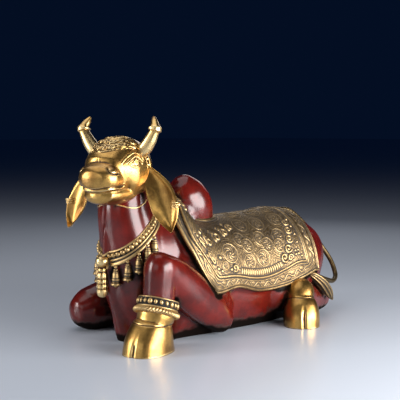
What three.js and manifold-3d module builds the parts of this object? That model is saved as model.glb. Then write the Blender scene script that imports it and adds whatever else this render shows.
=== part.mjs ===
// Reclining nandi bull, cast in one piece of brass, with a saddle cloth, necklace, bells and anklet.
// Units are millimetres and +Z is up. The bull faces -Y and +X is its left side.
// The origin is on the flat underside, in the middle plane of the trunk.

import * as THREE from 'three';
import { mergeVertices } from 'three/addons/utils/BufferGeometryUtils.js';
import Module from 'manifold-3d';

const wasm = await Module();
wasm.setup();

// Driving dimensions
const HEIGHT = 400;
const CLOTH_RELIEF = 3;
const BORDER_WIDTH = 25;
const MEDALLION_SIZE = 38;
const MEDALLION_RIM = 5;
const BOSS_SIZE = 16;
const FLUTE_COUNT = 8;
const FLUTE_LENGTH = 15;
const FLUTE_WIDTH = 8;
const CURL_SIZE = 20;
const CURL_ROLL = 7;
const COLLAR_WIDTH = 6;
const STRAP_THICKNESS = 3;
const STRAP_WIDTH = 22;
const STRAP_SINK = 20;
const STRAP_CORD = 4.4;
const CORD_RELIEF = 2.2;
const NECK_BEAD = 10;
const NECK_BEAD_COUNT = 17;
const BELL_LENGTH = 38;
const BELL_WIDTH = 19;
const PENDANT_LENGTH = 64;
const PENDANT_WIDTH = 17;
const ANKLET_GROWTH = 3;
const ANKLET_BAND = 16;
const ANKLET_ROPE = 12;
const ANKLET_BEAD = 9;
const ANKLET_BEAD_COUNT = 10;
const EAR_STUD = 9;
const EAR_STUD_LENGTH = 15;
const DIADEM_THICKNESS = 2.6;
const EYE_LENGTH = 20;
const EYE_HEIGHT = 12;
const BROW_ROLL = 6;
const NOSTRIL_GROOVE = 4;
const TAIL_THICKNESS = 10;
const CLEFT_WIDTH = 3.4;

// The pose and the free forms are written in parts: the horn tips stand 99 parts above the floor.
const PART = HEIGHT / 99;

// Finishes, as the material of each face
const RED_LACQUER = 0;
const POLISHED_BRASS = 1;
const AGED_BRASS = 2;

const HEAD_TURN = THREE.MathUtils.degToRad(24);
const EAR_TURN = THREE.MathUtils.degToRad(16);
const FRONT_HOOF_TURN = THREE.MathUtils.degToRad(18);
const HIND_HOOF_TURN = THREE.MathUtils.degToRad(50);
const NECKLACE_TILT = THREE.MathUtils.degToRad(41);
const ANKLET_TILT = THREE.MathUtils.degToRad(20);
const CLEFT_LEAN = THREE.MathUtils.degToRad(29);

const TOUCH = 0.01;

const AXIS_X = new THREE.Vector3(1, 0, 0);
const AXIS_Y = new THREE.Vector3(0, 1, 0);
const AXIS_Z = new THREE.Vector3(0, 0, 1);

const at = (x, y, z) => new THREE.Vector3(x, y, z).multiplyScalar(PART);

// Oval sections along a path, in parts. Each row is x, y, z of the middle, half width, half depth.
const TRUNK = [
  [0, -46, 20, 2, 4],
  [0, -43, 23, 12, 18],
  [0, -37, 26, 16, 30],
  [0, -29, 25.6, 19.6, 36],
  [0, -21, 23.4, 21.8, 29.6],
  [0, -11, 22.8, 22.8, 29.4],
  [0, 2, 22.6, 23, 28.8],
  [0, 16, 22.6, 23.4, 29],
  [0, 36, 24, 23.6, 29.3],
  [0, 52, 23.5, 21.5, 28],
  [0, 64, 22.5, 16.4, 21.5],
  [0, 70.6, 20, 10.4, 14],
  [0, 73.4, 18.5, 2, 3],
];
// The saddle cloth's own surface over the back
const COVER = [
  [0, -40, 22, 9, 30],
  [0, -36, 22, 19.4, 40],
  [0, -30.5, 21.6, 24, 43.2],
  [0, -26, 21.2, 26, 38.6],
  [0, -21.4, 20.8, 27, 33.4],
  [0, -14, 20.4, 27.4, 32],
  [0, 2, 20, 26.6, 32.4],
  [0, 16, 20, 26, 32.8],
  [0, 28, 20, 26.4, 33.2],
  [0, 38, 20, 27.4, 34.2],
  [0, 47, 20, 27.2, 33.8],
  [0, 54, 20, 25, 31.4],
  [0, 62, 19, 19, 24],
];
const NECK = [
  [0, -33, -6, 10, 12],
  [0, -34, 4, 13, 14],
  [0, -36.5, 14, 16, 17],
  [0, -39.5, 26, 16.8, 18.4],
  [0, -43.4, 38, 15, 16.4],
  [0, -46.8, 48, 13.2, 14],
  [0, -49.6, 58, 11.4, 12],
  [0, -50, 66, 10, 10.6],
  [0, -49, 74, 6, 6],
];
const DEWLAP = [
  [0, -55, 63, 0.8, 1],
  [0, -56.4, 54, 2, 4.6],
  [0, -56.6, 42, 2.4, 5.2],
  [0, -55.4, 30, 2.8, 5.6],
  [0, -51.2, 18, 4, 6.4],
  [0, -46.6, 6, 6, 8],
  [0, -43, -4, 6.5, 8],
];
const HUMP = [
  [0, -19, 71, 0.8, 0.8],
  [0, -18, 69.8, 5, 5],
  [0, -15.2, 65, 8.6, 9],
  [0, -11.4, 58, 9.9, 10.4],
  [0, -9.2, 51.5, 8.6, 9.2],
  [0, -9, 45, 6, 6.6],
];
const SHOULDER = [
  [10, -27, 48, 2, 3],
  [11.6, -26, 43, 5, 7],
  [14, -24, 35, 7, 11],
  [16.6, -20.6, 26, 8, 12.4],
  [18, -15.6, 16, 7.6, 11],
  [19, -11.6, 8, 6.6, 8],
  [19, -10, 1, 2, 3],
];
const RAISED_FOREARM = [
  [19.4, -5, 4, 1, 2],
  [19.8, -8.4, 6, 5.4, 6],
  [20.8, -17, 12.5, 7, 8.6],
  [22.4, -30, 21.5, 7.4, 9.2],
  [24.2, -42, 30.4, 7, 8.2],
  [25.3, -49.8, 35, 6.8, 6.6],
  [25.6, -54.8, 36, 4.4, 4.4],
  [25.7, -57, 36.2, 0.6, 0.6],
];
const RAISED_SHIN = [
  [25.6, -48.6, 41.8, 1, 1],
  [25.5, -49.2, 40, 5.4, 5.8],
  [25.4, -50.2, 35, 6.9, 7.2],
  [25.2, -50.8, 28, 6.6, 6.9],
  [25, -51, 21, 6.4, 6.6],
];
const RAISED_PASTERN = [
  [24.7, -50.6, 23, 5, 5],
  [24.6, -50.8, 20.6, 7.7, 7.7],
  [24.4, -51.8, 16, 8, 8],
  [24.2, -52.8, 12.6, 7.5, 7.7],
  [24, -53.6, 9, 7.4, 7.8],
];
const RAISED_HOOF = [
  [24.1, -52.6, 13, 3, 3],
  [24.1, -53, 11.8, 7.6, 8],
  [24, -54.4, 7.6, 8.9, 10.2],
  [23.9, -55.4, 3.2, 9.5, 12],
  [23.9, -55.8, -2, 9.8, 12.8],
];
const FOLDED_FOREARM = [
  [-29.4, -58, 8.6, 0.8, 1],
  [-29.5, -56.4, 8.8, 5, 5.6],
  [-29.5, -50, 9.4, 8.8, 9.8],
  [-27.6, -38, 11.6, 8.8, 11.6],
  [-25, -24, 13.5, 8.6, 12.6],
  [-22, -11, 10, 7, 9.6],
  [-20.5, -4, 7, 1, 2],
];
const FOLDED_SHANK = [
  [-30, -53, 5, 1, 1],
  [-30.6, -50.4, 5, 5, 5],
  [-32.4, -38, 4.8, 5.2, 5],
  [-33.5, -28, 4.8, 5.4, 5.2],
  [-33.8, -24, 5, 4.6, 4.8],
];
const FOLDED_HOOF = [
  [-33.8, -26, 5, 2, 2],
  [-33.8, -24.6, 5, 5.2, 5.2],
  [-33.9, -21, 5.2, 4.8, 5],
  [-34, -17, 5.6, 6.2, 6],
  [-34, -13.4, 5.8, 6, 5.4],
  [-34, -12, 6, 1, 1],
];
const HAUNCH = [
  [9, 62, 40, 1, 2],
  [11, 59, 37, 6, 7],
  [14, 53, 31, 9, 12],
  [16.4, 44, 25.4, 9.6, 14.6],
  [17.6, 34, 19, 8.8, 13.4],
  [18.2, 25, 14, 7.4, 11],
  [18.2, 18, 10, 1.6, 3],
];
const HIND_SHANK = [
  [13.4, 70, 8.4, 1, 1],
  [13.8, 67.6, 8.6, 5, 7],
  [16, 60, 8.6, 6, 7.6],
  [20.5, 50.5, 9.4, 5.6, 6.8],
  [25, 42, 12, 5.6, 6.4],
  [27.6, 37, 13.6, 5, 5.6],
];
const HIND_FETLOCK = [
  [24.4, 39.4, 14.6, 1, 1],
  [25.4, 38.2, 14.8, 5.4, 5.6],
  [28.2, 34.8, 14.8, 6.8, 6.9],
  [30.4, 32.4, 11.4, 6.2, 5.8],
  [31.4, 31.2, 8, 5, 5],
];
const HIND_HOOF = [
  [29.4, 34, 13.6, 2, 2],
  [29.9, 33.5, 12.6, 6, 5.6],
  [31.2, 32.3, 8.6, 8, 7.8],
  [32, 31.6, 3.6, 8.6, 9.2],
  [32.2, 31.4, -2, 8.4, 9.4],
];

// The head, in its own frame: x to the left ear, -y to the muzzle, z from the floor
const HEAD_PLACE = at(1, -53.9, 0);
const SKULL = [
  [0, 14, 77, 1, 2],
  [0, 12.4, 76.8, 9, 9.6],
  [0, 8, 76.4, 12.6, 13.4],
  [0, 2, 76, 13.2, 14.7],
  [0, -4, 75.4, 12.8, 14],
  [0, -8.6, 74.4, 11, 11.6],
  [0, -12.6, 72, 8.8, 8.4],
  [0, -17, 71, 7.4, 7],
  [0, -19, 71, 2, 2],
];
const JAW = [
  [0, 12.6, 70, 2, 3],
  [0, 11, 69, 7, 7.6],
  [0, 4, 67.4, 9.6, 7.4],
  [0, -6, 66.4, 9.4, 5.4],
  [0, -13, 66, 8.6, 4.5],
  [0, -18.2, 66.2, 7, 3.7],
  [0, -20.8, 66.6, 2, 1],
];
const MUZZLE = [
  [0, -5, 73.4, 3, 2],
  [0, -7, 73.4, 7.4, 5.4],
  [0, -12, 73.4, 9.2, 6.9],
  [0, -17, 73.2, 9.2, 6.8],
  [0, -21, 73, 7.2, 5.3],
  [0, -22.8, 72.8, 2.4, 1.8],
];
const HORN = [
  [10.5, 0.4, 83, 2.6, 2.6],
  [12.8, 0.6, 85.4, 3, 3],
  [15.4, 0.6, 89, 2.7, 2.7],
  [17.3, 0.6, 92.6, 2.2, 2.2],
  [17.5, 0.7, 93.3, 2.9, 2.9],
  [17.6, 0.8, 94.3, 2.9, 2.9],
  [17.5, 1, 95, 2, 2],
  [16.7, 2.2, 97, 1.5, 1.5],
  [15.8, 3.4, 98.8, 0.6, 0.6],
  [15.6, 3.6, 99, 0.2, 0.2],
];
const EAR = [
  [10, 3.6, 77, 1, 1],
  [12, 3.4, 75.6, 2.6, 1],
  [15, 2.8, 72.6, 4, 1.1],
  [19, 1.8, 67, 5.9, 1.2],
  [22, 1, 60.6, 6, 1.2],
  [24.2, 0.4, 54.6, 3.9, 1],
  [25.4, 0, 50.6, 1, 0.8],
  [25.7, 0, 49.8, 0.3, 0.8],
];
const EAR_RIM = 1.1;
const EAR_BOWL_PLACE = 1.6;
const EAR_BOWL_DEPTH = 1.4;
const EAR_STUD_PLACE = [27.6, 3, 61.6];
const DIADEM_PLACE = [0, -6.2, 90];
const DIADEM_REACH = 16.4;
const DIADEM_RISE = 12;
const FACE_SPREAD = 1.2;
const EYE_PLACE = [11.4, -6, 79];
const BROW_LINE = [[8.6, -10, 80], [10, -8, 82], [11.6, -5, 83], [12.4, -2, 81.4], [12.6, 0, 79]];
const NOSTRIL_LINE = [[2.6, -22, 77.2], [3.8, -22, 75.2], [6, -20.6, 74.6], [7.8, -18.8, 75.8]];

// The route of the tail: down the rump, out behind it and back along the left haunch
const TAIL = [
  [0, 46, 52.6],
  [0, 56, 52],
  [0, 65.4, 46.6],
  [1.5, 72.8, 39.4],
  [5, 77.4, 31.8],
  [9.6, 80, 24],
  [14, 78.4, 17.4],
  [18, 71.6, 15.4],
  [21, 63, 17.2],
  [23.4, 54, 20],
  [24.8, 46, 22.4],
];
const TAIL_TUFT = [
  [24.4, 44.6, 23, 1, 1],
  [25, 47.4, 21.4, 2.8, 1.8],
  [25.4, 53, 17.6, 3.6, 2.4],
  [25, 59, 12.2, 2.8, 2.2],
  [24.6, 63.6, 7.2, 0.4, 0.4],
];

// The saddle cloth seen from the side, as y and z along its edges
const CLOTH_HEM = [[-19, 20.6], [-6, 21.8], [8, 18.6], [22, 18.4], [38, 21.8], [51, 23.8]];
const CLOTH_REAR = [[50.8, 40], [50.6, 80]];
const CLOTH_FRONT = [[-33, 80], [-33.2, 60], [-32.6, 51.4], [-30.1, 41], [-24.8, 29], [-19, 20.6]];
const MEDALLIONS = [
  [-7.9, 37.6],
  [3.2, 32.6],
  [2.8, 42],
  [13.6, 33.8],
  [15.8, 42.2],
  [26.8, 40.6],
  [20.2, 49.2],
];
const FLUTE_LINE = [[-5, 28], [9.4, 25.2], [23.6, 27.4]];
const REAR_CURLS = [[34, 27], [39, 32.6], [41, 39.6]];
const FRONT_CURLS = [[-11, 29.6]];

// The necklace's ring, seen as a circle of directions round this point
const NECKLACE_PLACE = at(0, -48.5, 51);
const STRAP_SIDES = 16;
const NECKLACE_FRONT = AXIS_Y.clone().negate().applyAxisAngle(AXIS_X, NECKLACE_TILT);
const BEADED_ANGLE = THREE.MathUtils.degToRad(240);
const BELL_ANGLES = [17, 35, 53, 71, 89];
const ANKLET_PLACE = at(24.6, -51.2, 19.6);

const smooth = (rows, first, count) => new THREE.CatmullRomCurve3(
  rows.map((row) => new THREE.Vector3(...row.slice(first, first + count), ...(count < 3 ? [0] : []))),
);

// A closed form with oval sections along a smooth path. Grow thickens it all round, in millimetres.
function loft(rows, { across = AXIS_X, sides = 10, steps = 9, fullness = 2.15, grow = 0 } = {}) {
  const path = smooth(rows, 0, 3);
  const girth = smooth(rows, 3, 2);
  const oval = (value) => Math.sign(value) * Math.abs(value) ** (2 / fullness);
  const facetTurn = (2 * Math.PI) / sides;
  const sameArea = Math.sqrt(facetTurn / Math.sin(facetTurn));
  const geometry = new THREE.SphereGeometry(1, sides, steps);
  const { position, uv } = geometry.attributes;
  for (let i = 0; i < position.count; i += 1) {
    const along = 1 - uv.getY(i);
    const isEnd = along === 0 || along === 1;
    const angle = 2 * Math.PI * (uv.getX(i) % 1);
    const tangent = path.getTangent(along);
    const side = across.clone().addScaledVector(tangent, -across.dot(tangent)).normalize();
    const rise = side.clone().cross(tangent);
    const size = girth.getPoint(along);
    const width = isEnd ? 0 : (size.x * PART * sameArea + grow) * oval(Math.cos(angle));
    const depth = isEnd ? 0 : (size.y * PART * sameArea + grow) * oval(Math.sin(angle));
    const beyond = isEnd ? grow * (along * 2 - 1) : 0;
    const point = path.getPoint(along).multiplyScalar(PART);
    point.addScaledVector(side, width).addScaledVector(rise, depth).addScaledVector(tangent, beyond);
    position.setXYZ(i, ...point);
  }
  return geometry;
}

// A round roll of even thickness along a smooth line of points in millimetres
function roll(points, thickness, { sides = 5, steps = 8 } = {}) {
  const corner = (i) => new THREE.Vector2(thickness / 2, 0).rotateAround(
    new THREE.Vector2(),
    (2 * Math.PI * i) / sides,
  );
  const section = new THREE.Shape(Array.from({ length: sides }, (_, i) => corner(i)));
  const extrudePath = new THREE.CatmullRomCurve3(points);
  return new THREE.ExtrudeGeometry(section, { steps, bevelEnabled: false, extrudePath });
}

// Finishes are kept for each run of faces that the joined solid carries.
const finishOfRun = new Map();

function finished(solid, finish) {
  const original = solid.asOriginal();
  finishOfRun.set(original.originalID(), finish);
  return original;
}

function signedVolume(positions, corners) {
  const corner = (i) => new THREE.Vector3().fromArray(positions, 3 * corners[i]);
  let total = 0;
  for (let i = 0; i < corners.length; i += 3) {
    total += corner(i).dot(corner(i + 1).cross(corner(i + 2))) / 6;
  }
  return total;
}

// A geometry as a solid, with its faces turned outward and those of no area at a pole dropped
function solidOf(source, finish) {
  const bare = source.clone();
  bare.deleteAttribute('normal');
  bare.deleteAttribute('uv');
  const { index, attributes } = mergeVertices(bare);
  const corners = [];
  for (let i = 0; i < index.count; i += 3) {
    const [a, b, c] = [index.getX(i), index.getX(i + 1), index.getX(i + 2)];
    if (a !== b && b !== c && c !== a) {
      corners.push(a, b, c);
    }
  }
  const vertProperties = Float32Array.from(attributes.position.array);
  const outward = signedVolume(vertProperties, corners) < 0 ? corners.reverse() : corners;
  const triVerts = Uint32Array.from(outward);
  return finished(new wasm.Manifold(new wasm.Mesh({ numProp: 3, vertProperties, triVerts })), finish);
}

const red = (geometry) => solidOf(geometry, RED_LACQUER);
const polished = (geometry) => solidOf(geometry, POLISHED_BRASS);
const aged = (geometry) => solidOf(geometry, AGED_BRASS);
const joined = (solids) => solids.reduce((whole, solid) => whole.add(solid));
const mirrored = (geometry) => geometry.clone().applyMatrix4(new THREE.Matrix4().makeScale(-1, 1, 1));
const bothSides = (geometry) => [geometry, mirrored(geometry)];

function geometryOf(solid) {
  const mesh = solid.getMesh();
  const geometry = new THREE.BufferGeometry();
  geometry.setAttribute('position', new THREE.BufferAttribute(mesh.vertProperties, 3));
  geometry.setIndex(new THREE.BufferAttribute(mesh.triVerts, 1));
  for (let run = 0; run < mesh.runOriginalID.length; run += 1) {
    const start = mesh.runIndex[run];
    const finish = finishOfRun.get(mesh.runOriginalID[run]);
    geometry.addGroup(start, mesh.runIndex[run + 1] - start, finish);
  }
  return geometry;
}

// Where a line towards a solid first meets it
function surfaceFinder(solid) {
  const geometry = geometryOf(solid);
  geometry.clearGroups();
  const target = new THREE.Mesh(geometry, new THREE.MeshBasicMaterial({ side: THREE.DoubleSide }));
  return (goal, direction) => {
    const start = goal.clone().addScaledVector(direction, -HEIGHT);
    const [hit] = new THREE.Raycaster(start, direction).intersectObject(target, false);
    return { point: hit.point, normal: hit.face.normal.clone() };
  };
}

// A geometry moved to a point, with its +Z along a direction and its X axis kept level
function standing(geometry, point, direction) {
  const lean = new THREE.Quaternion().setFromUnitVectors(AXIS_Z, direction.clone().normalize());
  const level = Math.atan2(direction.x, -direction.y);
  return geometry.clone().rotateZ(level).applyQuaternion(lean).translate(...point);
}

// A round turning about +Z, from a profile of radius and height
const turned = (profile, segments) => new THREE.LatheGeometry(
  profile.map(([radius, height]) => new THREE.Vector2(radius, height)),
  segments,
).rotateX(Math.PI / 2);

// Body and legs
const trunk = red(loft(TRUNK, { sides: 14, steps: 12 }));
const neck = joined([
  red(loft(NECK, { sides: 12, steps: 8 })),
  red(loft(DEWLAP, { sides: 6, steps: 6 })),
]);
const shoulders = joined(bothSides(loft(SHOULDER, { sides: 8, steps: 6 })).map(red));
const limbs = joined([
  loft(HUMP, { sides: 12, steps: 7 }),
  loft(RAISED_FOREARM, { sides: 8, steps: 7 }),
  loft(RAISED_SHIN, { sides: 8, steps: 5 }),
  loft(FOLDED_FOREARM, { sides: 8, steps: 6 }),
  loft(FOLDED_SHANK, { sides: 7, steps: 5 }),
  ...bothSides(loft(HAUNCH, { sides: 8, steps: 6 })),
  ...bothSides(loft(HIND_SHANK, { sides: 7, steps: 6 })),
].map(red));

// A hoof with the cleft between its two toes
function hoof(rows, turn) {
  const toe = AXIS_Y.clone().negate().applyAxisAngle(AXIS_Z, turn);
  const across = AXIS_X.clone().applyAxisAngle(AXIS_Z, turn);
  const wall = loft(rows, { across, sides: 9, steps: 5, fullness: 2.3 });
  const [x, y, , , reach] = rows[rows.length - 1];
  const height = rows[1][2] * PART;
  const place = at(x, y, 0).addScaledVector(toe, reach * PART);
  const cleft = new THREE.BoxGeometry(CLEFT_WIDTH, height / 2, 2 * height);
  cleft.rotateX(-CLEFT_LEAN).rotateZ(turn).translate(...place);
  return polished(wall).subtract(polished(cleft));
}

const mirroredRows = (rows) => rows.map(([x, ...rest]) => [-x, ...rest]);
const feet = joined([
  polished(loft(RAISED_PASTERN, { sides: 9, steps: 4 })),
  hoof(RAISED_HOOF, FRONT_HOOF_TURN),
  polished(loft(FOLDED_HOOF, { sides: 7, steps: 5 })),
  ...bothSides(loft(HIND_FETLOCK, { sides: 8, steps: 4 })).map(polished),
  hoof(HIND_HOOF, HIND_HOOF_TURN),
  hoof(mirroredRows(HIND_HOOF), -HIND_HOOF_TURN),
]);

// Head
const onHead = (geometry) => geometry.clone().rotateZ(HEAD_TURN).translate(...HEAD_PLACE);
const headPoint = (place) => at(...place).applyAxisAngle(AXIS_Z, HEAD_TURN).add(HEAD_PLACE);
const skull = joined([
  loft(SKULL, { sides: 12, steps: 8 }),
  loft(JAW, { sides: 8, steps: 6 }),
  loft(MUZZLE, { sides: 10, steps: 5 }),
].map((geometry) => polished(onHead(geometry))));
const faceSurface = surfaceFinder(skull);

// The nearest place on the face to a point of the head, seen from straight outside it
function faceHit([x, y, z]) {
  const outward = new THREE.Vector3(x, y * FACE_SPREAD, 0).normalize().applyAxisAngle(AXIS_Z, HEAD_TURN);
  return faceSurface(headPoint([x, y, z]), outward.negate());
}

function diadem() {
  const band = loft(SKULL, { sides: 12, steps: 8, grow: DIADEM_THICKNESS });
  const brim = new THREE.BoxGeometry(HEIGHT, DIADEM_REACH * PART, DIADEM_RISE * PART);
  brim.translate(...at(...DIADEM_PLACE));
  return polished(onHead(band)).intersect(polished(onHead(brim)));
}

function eye(side) {
  const { point, normal } = faceHit([side * EYE_PLACE[0], EYE_PLACE[1], EYE_PLACE[2]]);
  const ball = new THREE.SphereGeometry(EYE_LENGTH / 2, 7, 4).scale(1, EYE_HEIGHT / EYE_LENGTH, 0.5);
  return polished(standing(ball, point, normal));
}

const faceRoll = (line, side, thickness) => roll(
  line.map(([x, y, z]) => faceHit([side * x, y, z]).point),
  thickness,
  { sides: 3, steps: 5 },
);

function horn(side) {
  const geometry = loft(HORN, { sides: 7, steps: HORN.length - 1 });
  return polished(onHead(side > 0 ? geometry : mirrored(geometry)));
}

// A leaf-shaped ear, hollowed on its front, with a stud through its outer edge
function ear(side) {
  const across = AXIS_X.clone().applyAxisAngle(AXIS_Z, EAR_TURN);
  const front = AXIS_Y.clone().negate().applyAxisAngle(AXIS_Z, EAR_TURN);
  const leaf = loft(EAR, { across, sides: 8, steps: 6, fullness: 2 });
  const bowl = EAR.slice(1, -1).map(([x, y, z, width]) => [x, y, z, width - EAR_RIM, EAR_BOWL_DEPTH]);
  const hollow = loft(bowl, { across, sides: 6, steps: 5, fullness: 2 });
  hollow.translate(...front.clone().multiplyScalar(EAR_BOWL_PLACE * PART));
  const stud = standing(new THREE.CylinderGeometry(EAR_STUD / 2, EAR_STUD / 2, EAR_STUD_LENGTH, 5)
    .rotateX(Math.PI / 2), at(...EAR_STUD_PLACE), across);
  const [leafPiece, hollowPiece, studPiece] = [leaf, hollow, stud].map((geometry) => (
    polished(onHead(side > 0 ? geometry : mirrored(geometry)))
  ));
  return leafPiece.subtract(hollowPiece).add(studPiece);
}

const nostrils = joined([1, -1].map((side) => polished(faceRoll(NOSTRIL_LINE, side, NOSTRIL_GROOVE))));
const head = joined([
  skull,
  diadem(),
  ...[1, -1].flatMap((side) => [
    eye(side),
    polished(faceRoll(BROW_LINE, side, BROW_ROLL)),
    horn(side),
    ear(side),
  ]),
]).subtract(nostrils);

// Saddle cloth
const flat = (rows) => rows.map(([y, z]) => new THREE.Vector2(y * PART, z * PART));

function clothOutline() {
  const shape = new THREE.Shape();
  const [corner, ...hem] = flat(CLOTH_HEM);
  const [top, ...front] = flat(CLOTH_FRONT);
  shape.moveTo(corner.x, corner.y);
  shape.splineThru(hem);
  for (const point of [...flat(CLOTH_REAR), top]) {
    shape.lineTo(point.x, point.y);
  }
  shape.splineThru(front);
  return shape.getPoints(1).slice(0, -1);
}

// How far a point is from the nearest edge of a closed outline
function clearance(point, outlinePoints) {
  const spatial = ({ x, y }) => new THREE.Vector3(x, y, 0);
  return Math.min(...outlinePoints.map((corner, i) => {
    const edge = new THREE.Line3(spatial(corner), spatial(outlinePoints[(i + 1) % outlinePoints.length]));
    return edge.closestPointToPoint(spatial(point), true, new THREE.Vector3()).distanceTo(spatial(point));
  }));
}

// An outline drawn in by a distance all round
function drawnIn(points, inset) {
  const inner = points.map((here, i) => {
    const before = points[(i + points.length - 1) % points.length];
    const after = points[(i + 1) % points.length];
    const into = here.clone().sub(before).normalize();
    const out = after.clone().sub(here).normalize();
    const inward = new THREE.Vector2(-into.y - out.y, into.x + out.x).normalize();
    const share = new THREE.Vector2(-into.y, into.x).dot(inward);
    return here.clone().addScaledVector(inward, inset / share);
  });
  return inner.filter((point) => clearance(point, points) > inset - TOUCH);
}

// A prism through the bull's whole width, over a closed outline of y and z
function sidePrism(points) {
  const options = { depth: HEIGHT, bevelEnabled: false, curveSegments: 1 };
  const prism = new THREE.ExtrudeGeometry(new THREE.Shape(points), options).translate(0, 0, -HEIGHT / 2);
  return aged(prism.applyMatrix4(new THREE.Matrix4().makeBasis(AXIS_Y, AXIS_Z, AXIS_X)));
}

const outline = clothOutline();
const cover = (grow) => aged(loft(COVER, { sides: 16, steps: 13, grow }));
const coverSolid = cover(0);
const coverSurface = surfaceFinder(coverSolid);
const onCover = (y, z, side) => coverSurface(at(0, y, z), new THREE.Vector3(-side, 0, 0));

function medallion(y, z, side) {
  const { point, normal } = onCover(y, z, side);
  const edge = MEDALLION_SIZE / 2;
  const profile = [
    [0, CLOTH_RELIEF],
    [BOSS_SIZE / 2, CLOTH_RELIEF / 4],
    [edge - MEDALLION_RIM / 2, CLOTH_RELIEF],
    [edge, -CLOTH_RELIEF],
    [0, -CLOTH_RELIEF],
  ];
  return aged(standing(turned(profile, 7), point, normal));
}

function flute(position, side) {
  const line = new THREE.SplineCurve(flat(FLUTE_LINE));
  const place = line.getPoint(position).divideScalar(PART);
  const lean = line.getTangent(position);
  const { point, normal } = onCover(place.x, place.y, side);
  const radius = FLUTE_WIDTH / Math.sqrt(3);
  const bar = new THREE.CylinderGeometry(radius, radius, FLUTE_LENGTH, 3);
  return aged(standing(bar.rotateZ(side * Math.atan2(lean.y, lean.x)), point, normal));
}

function curl(y, z, side) {
  const radius = (CURL_SIZE - CURL_ROLL) / 2 / PART;
  const points = [0.3, 0.75, 1.2, 1.65].map((halfTurns) => {
    const angle = halfTurns * Math.PI;
    return onCover(y + radius * Math.cos(angle), z + radius * Math.sin(angle), side).point;
  });
  return aged(roll(points, CURL_ROLL, { sides: 3, steps: 4 }));
}

function clothRelief(side) {
  const flutes = Array.from({ length: FLUTE_COUNT }, (_, i) => flute(i / (FLUTE_COUNT - 1), side));
  return [
    ...MEDALLIONS.map(([y, z]) => medallion(y, z, side)),
    ...flutes,
    ...[...REAR_CURLS, ...FRONT_CURLS].map(([y, z]) => curl(y, z, side)),
  ];
}

const sheet = coverSolid.intersect(sidePrism(outline));
const borderPrism = sidePrism(outline).subtract(sidePrism(drawnIn(outline, BORDER_WIDTH)));
const border = borderPrism.intersect(cover(CLOTH_RELIEF));
const collar = aged(loft(HUMP, { sides: 12, steps: 7, grow: COLLAR_WIDTH })).intersect(cover(CLOTH_RELIEF));
const saddleCloth = joined([sheet, border, collar, ...clothRelief(1), ...clothRelief(-1)]);

// Necklace with its beads, bells and pendant
const chestSurface = surfaceFinder(joined([trunk, neck]));
const necklaceUp = NECKLACE_FRONT.clone().cross(AXIS_X);
const awayFromNeck = (angle) => NECKLACE_FRONT.clone().applyAxisAngle(necklaceUp, angle);
const chestHit = (angle, drop) => {
  const goal = NECKLACE_PLACE.clone().addScaledVector(necklaceUp, -drop);
  return chestSurface(goal, awayFromNeck(angle).negate());
};

// A strap that lies on the chest all round, with two raised cords along it
function strap() {
  const cordAcross = (drop) => [
    [STRAP_THICKNESS, drop - STRAP_CORD / 2],
    [STRAP_THICKNESS + CORD_RELIEF, drop],
    [STRAP_THICKNESS, drop + STRAP_CORD / 2],
  ];
  const section = [
    [-STRAP_SINK, STRAP_WIDTH],
    [-STRAP_SINK, 0],
    [STRAP_THICKNESS, 0],
    ...cordAcross(STRAP_WIDTH * 0.4),
    ...cordAcross(STRAP_WIDTH - STRAP_CORD),
    [-STRAP_SINK, STRAP_WIDTH],
  ];
  const profile = section.map(([out, drop]) => new THREE.Vector2(HEIGHT + out, drop));
  const geometry = new THREE.LatheGeometry(profile, STRAP_SIDES);
  const { position, uv } = geometry.attributes;
  for (let i = 0; i < position.count; i += 1) {
    const angle = 2 * Math.PI * (uv.getX(i) % 1);
    const [out, drop] = section[Math.round(uv.getY(i) * (section.length - 1))];
    position.setXYZ(i, ...chestHit(angle, drop).point.addScaledVector(awayFromNeck(angle), out));
  }
  return aged(geometry);
}

function bell(degrees) {
  const profile = [[0, 0], [0.34, -0.1], [0.4, -0.6], [0.54, -0.84], [0, -1]];
  const shape = turned(profile.map(([r, h]) => [r * BELL_WIDTH, h * BELL_LENGTH]), 5);
  const angle = THREE.MathUtils.degToRad(degrees);
  const { point } = chestHit(angle, STRAP_WIDTH - STRAP_CORD);
  return aged(shape.translate(...point.addScaledVector(awayFromNeck(angle), BELL_WIDTH / 3)));
}

function pendant() {
  const profile = [[0, 0], [0.8, -0.02], [0.7, -0.16], [0.44, -0.26], [0.5, -0.34], [0.4, -0.92], [0, -1]];
  const shape = turned(profile.map(([r, h]) => [r * PENDANT_WIDTH, h * PENDANT_LENGTH]), 7);
  return polished(shape.translate(...chestHit(0, STRAP_WIDTH / 2).point));
}

const beads = Array.from({ length: NECK_BEAD_COUNT }, (_, i) => {
  const angle = BEADED_ANGLE * (i / (NECK_BEAD_COUNT - 1) - 0.5);
  const place = chestHit(angle, 0).point.addScaledVector(awayFromNeck(angle), STRAP_THICKNESS);
  return aged(new THREE.OctahedronGeometry(NECK_BEAD / 2, 0).translate(...place));
});
const bells = BELL_ANGLES.flatMap((degrees) => [bell(degrees), bell(-degrees)]);
const necklace = joined([strap(), ...beads, ...bells, pendant()]);

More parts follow.
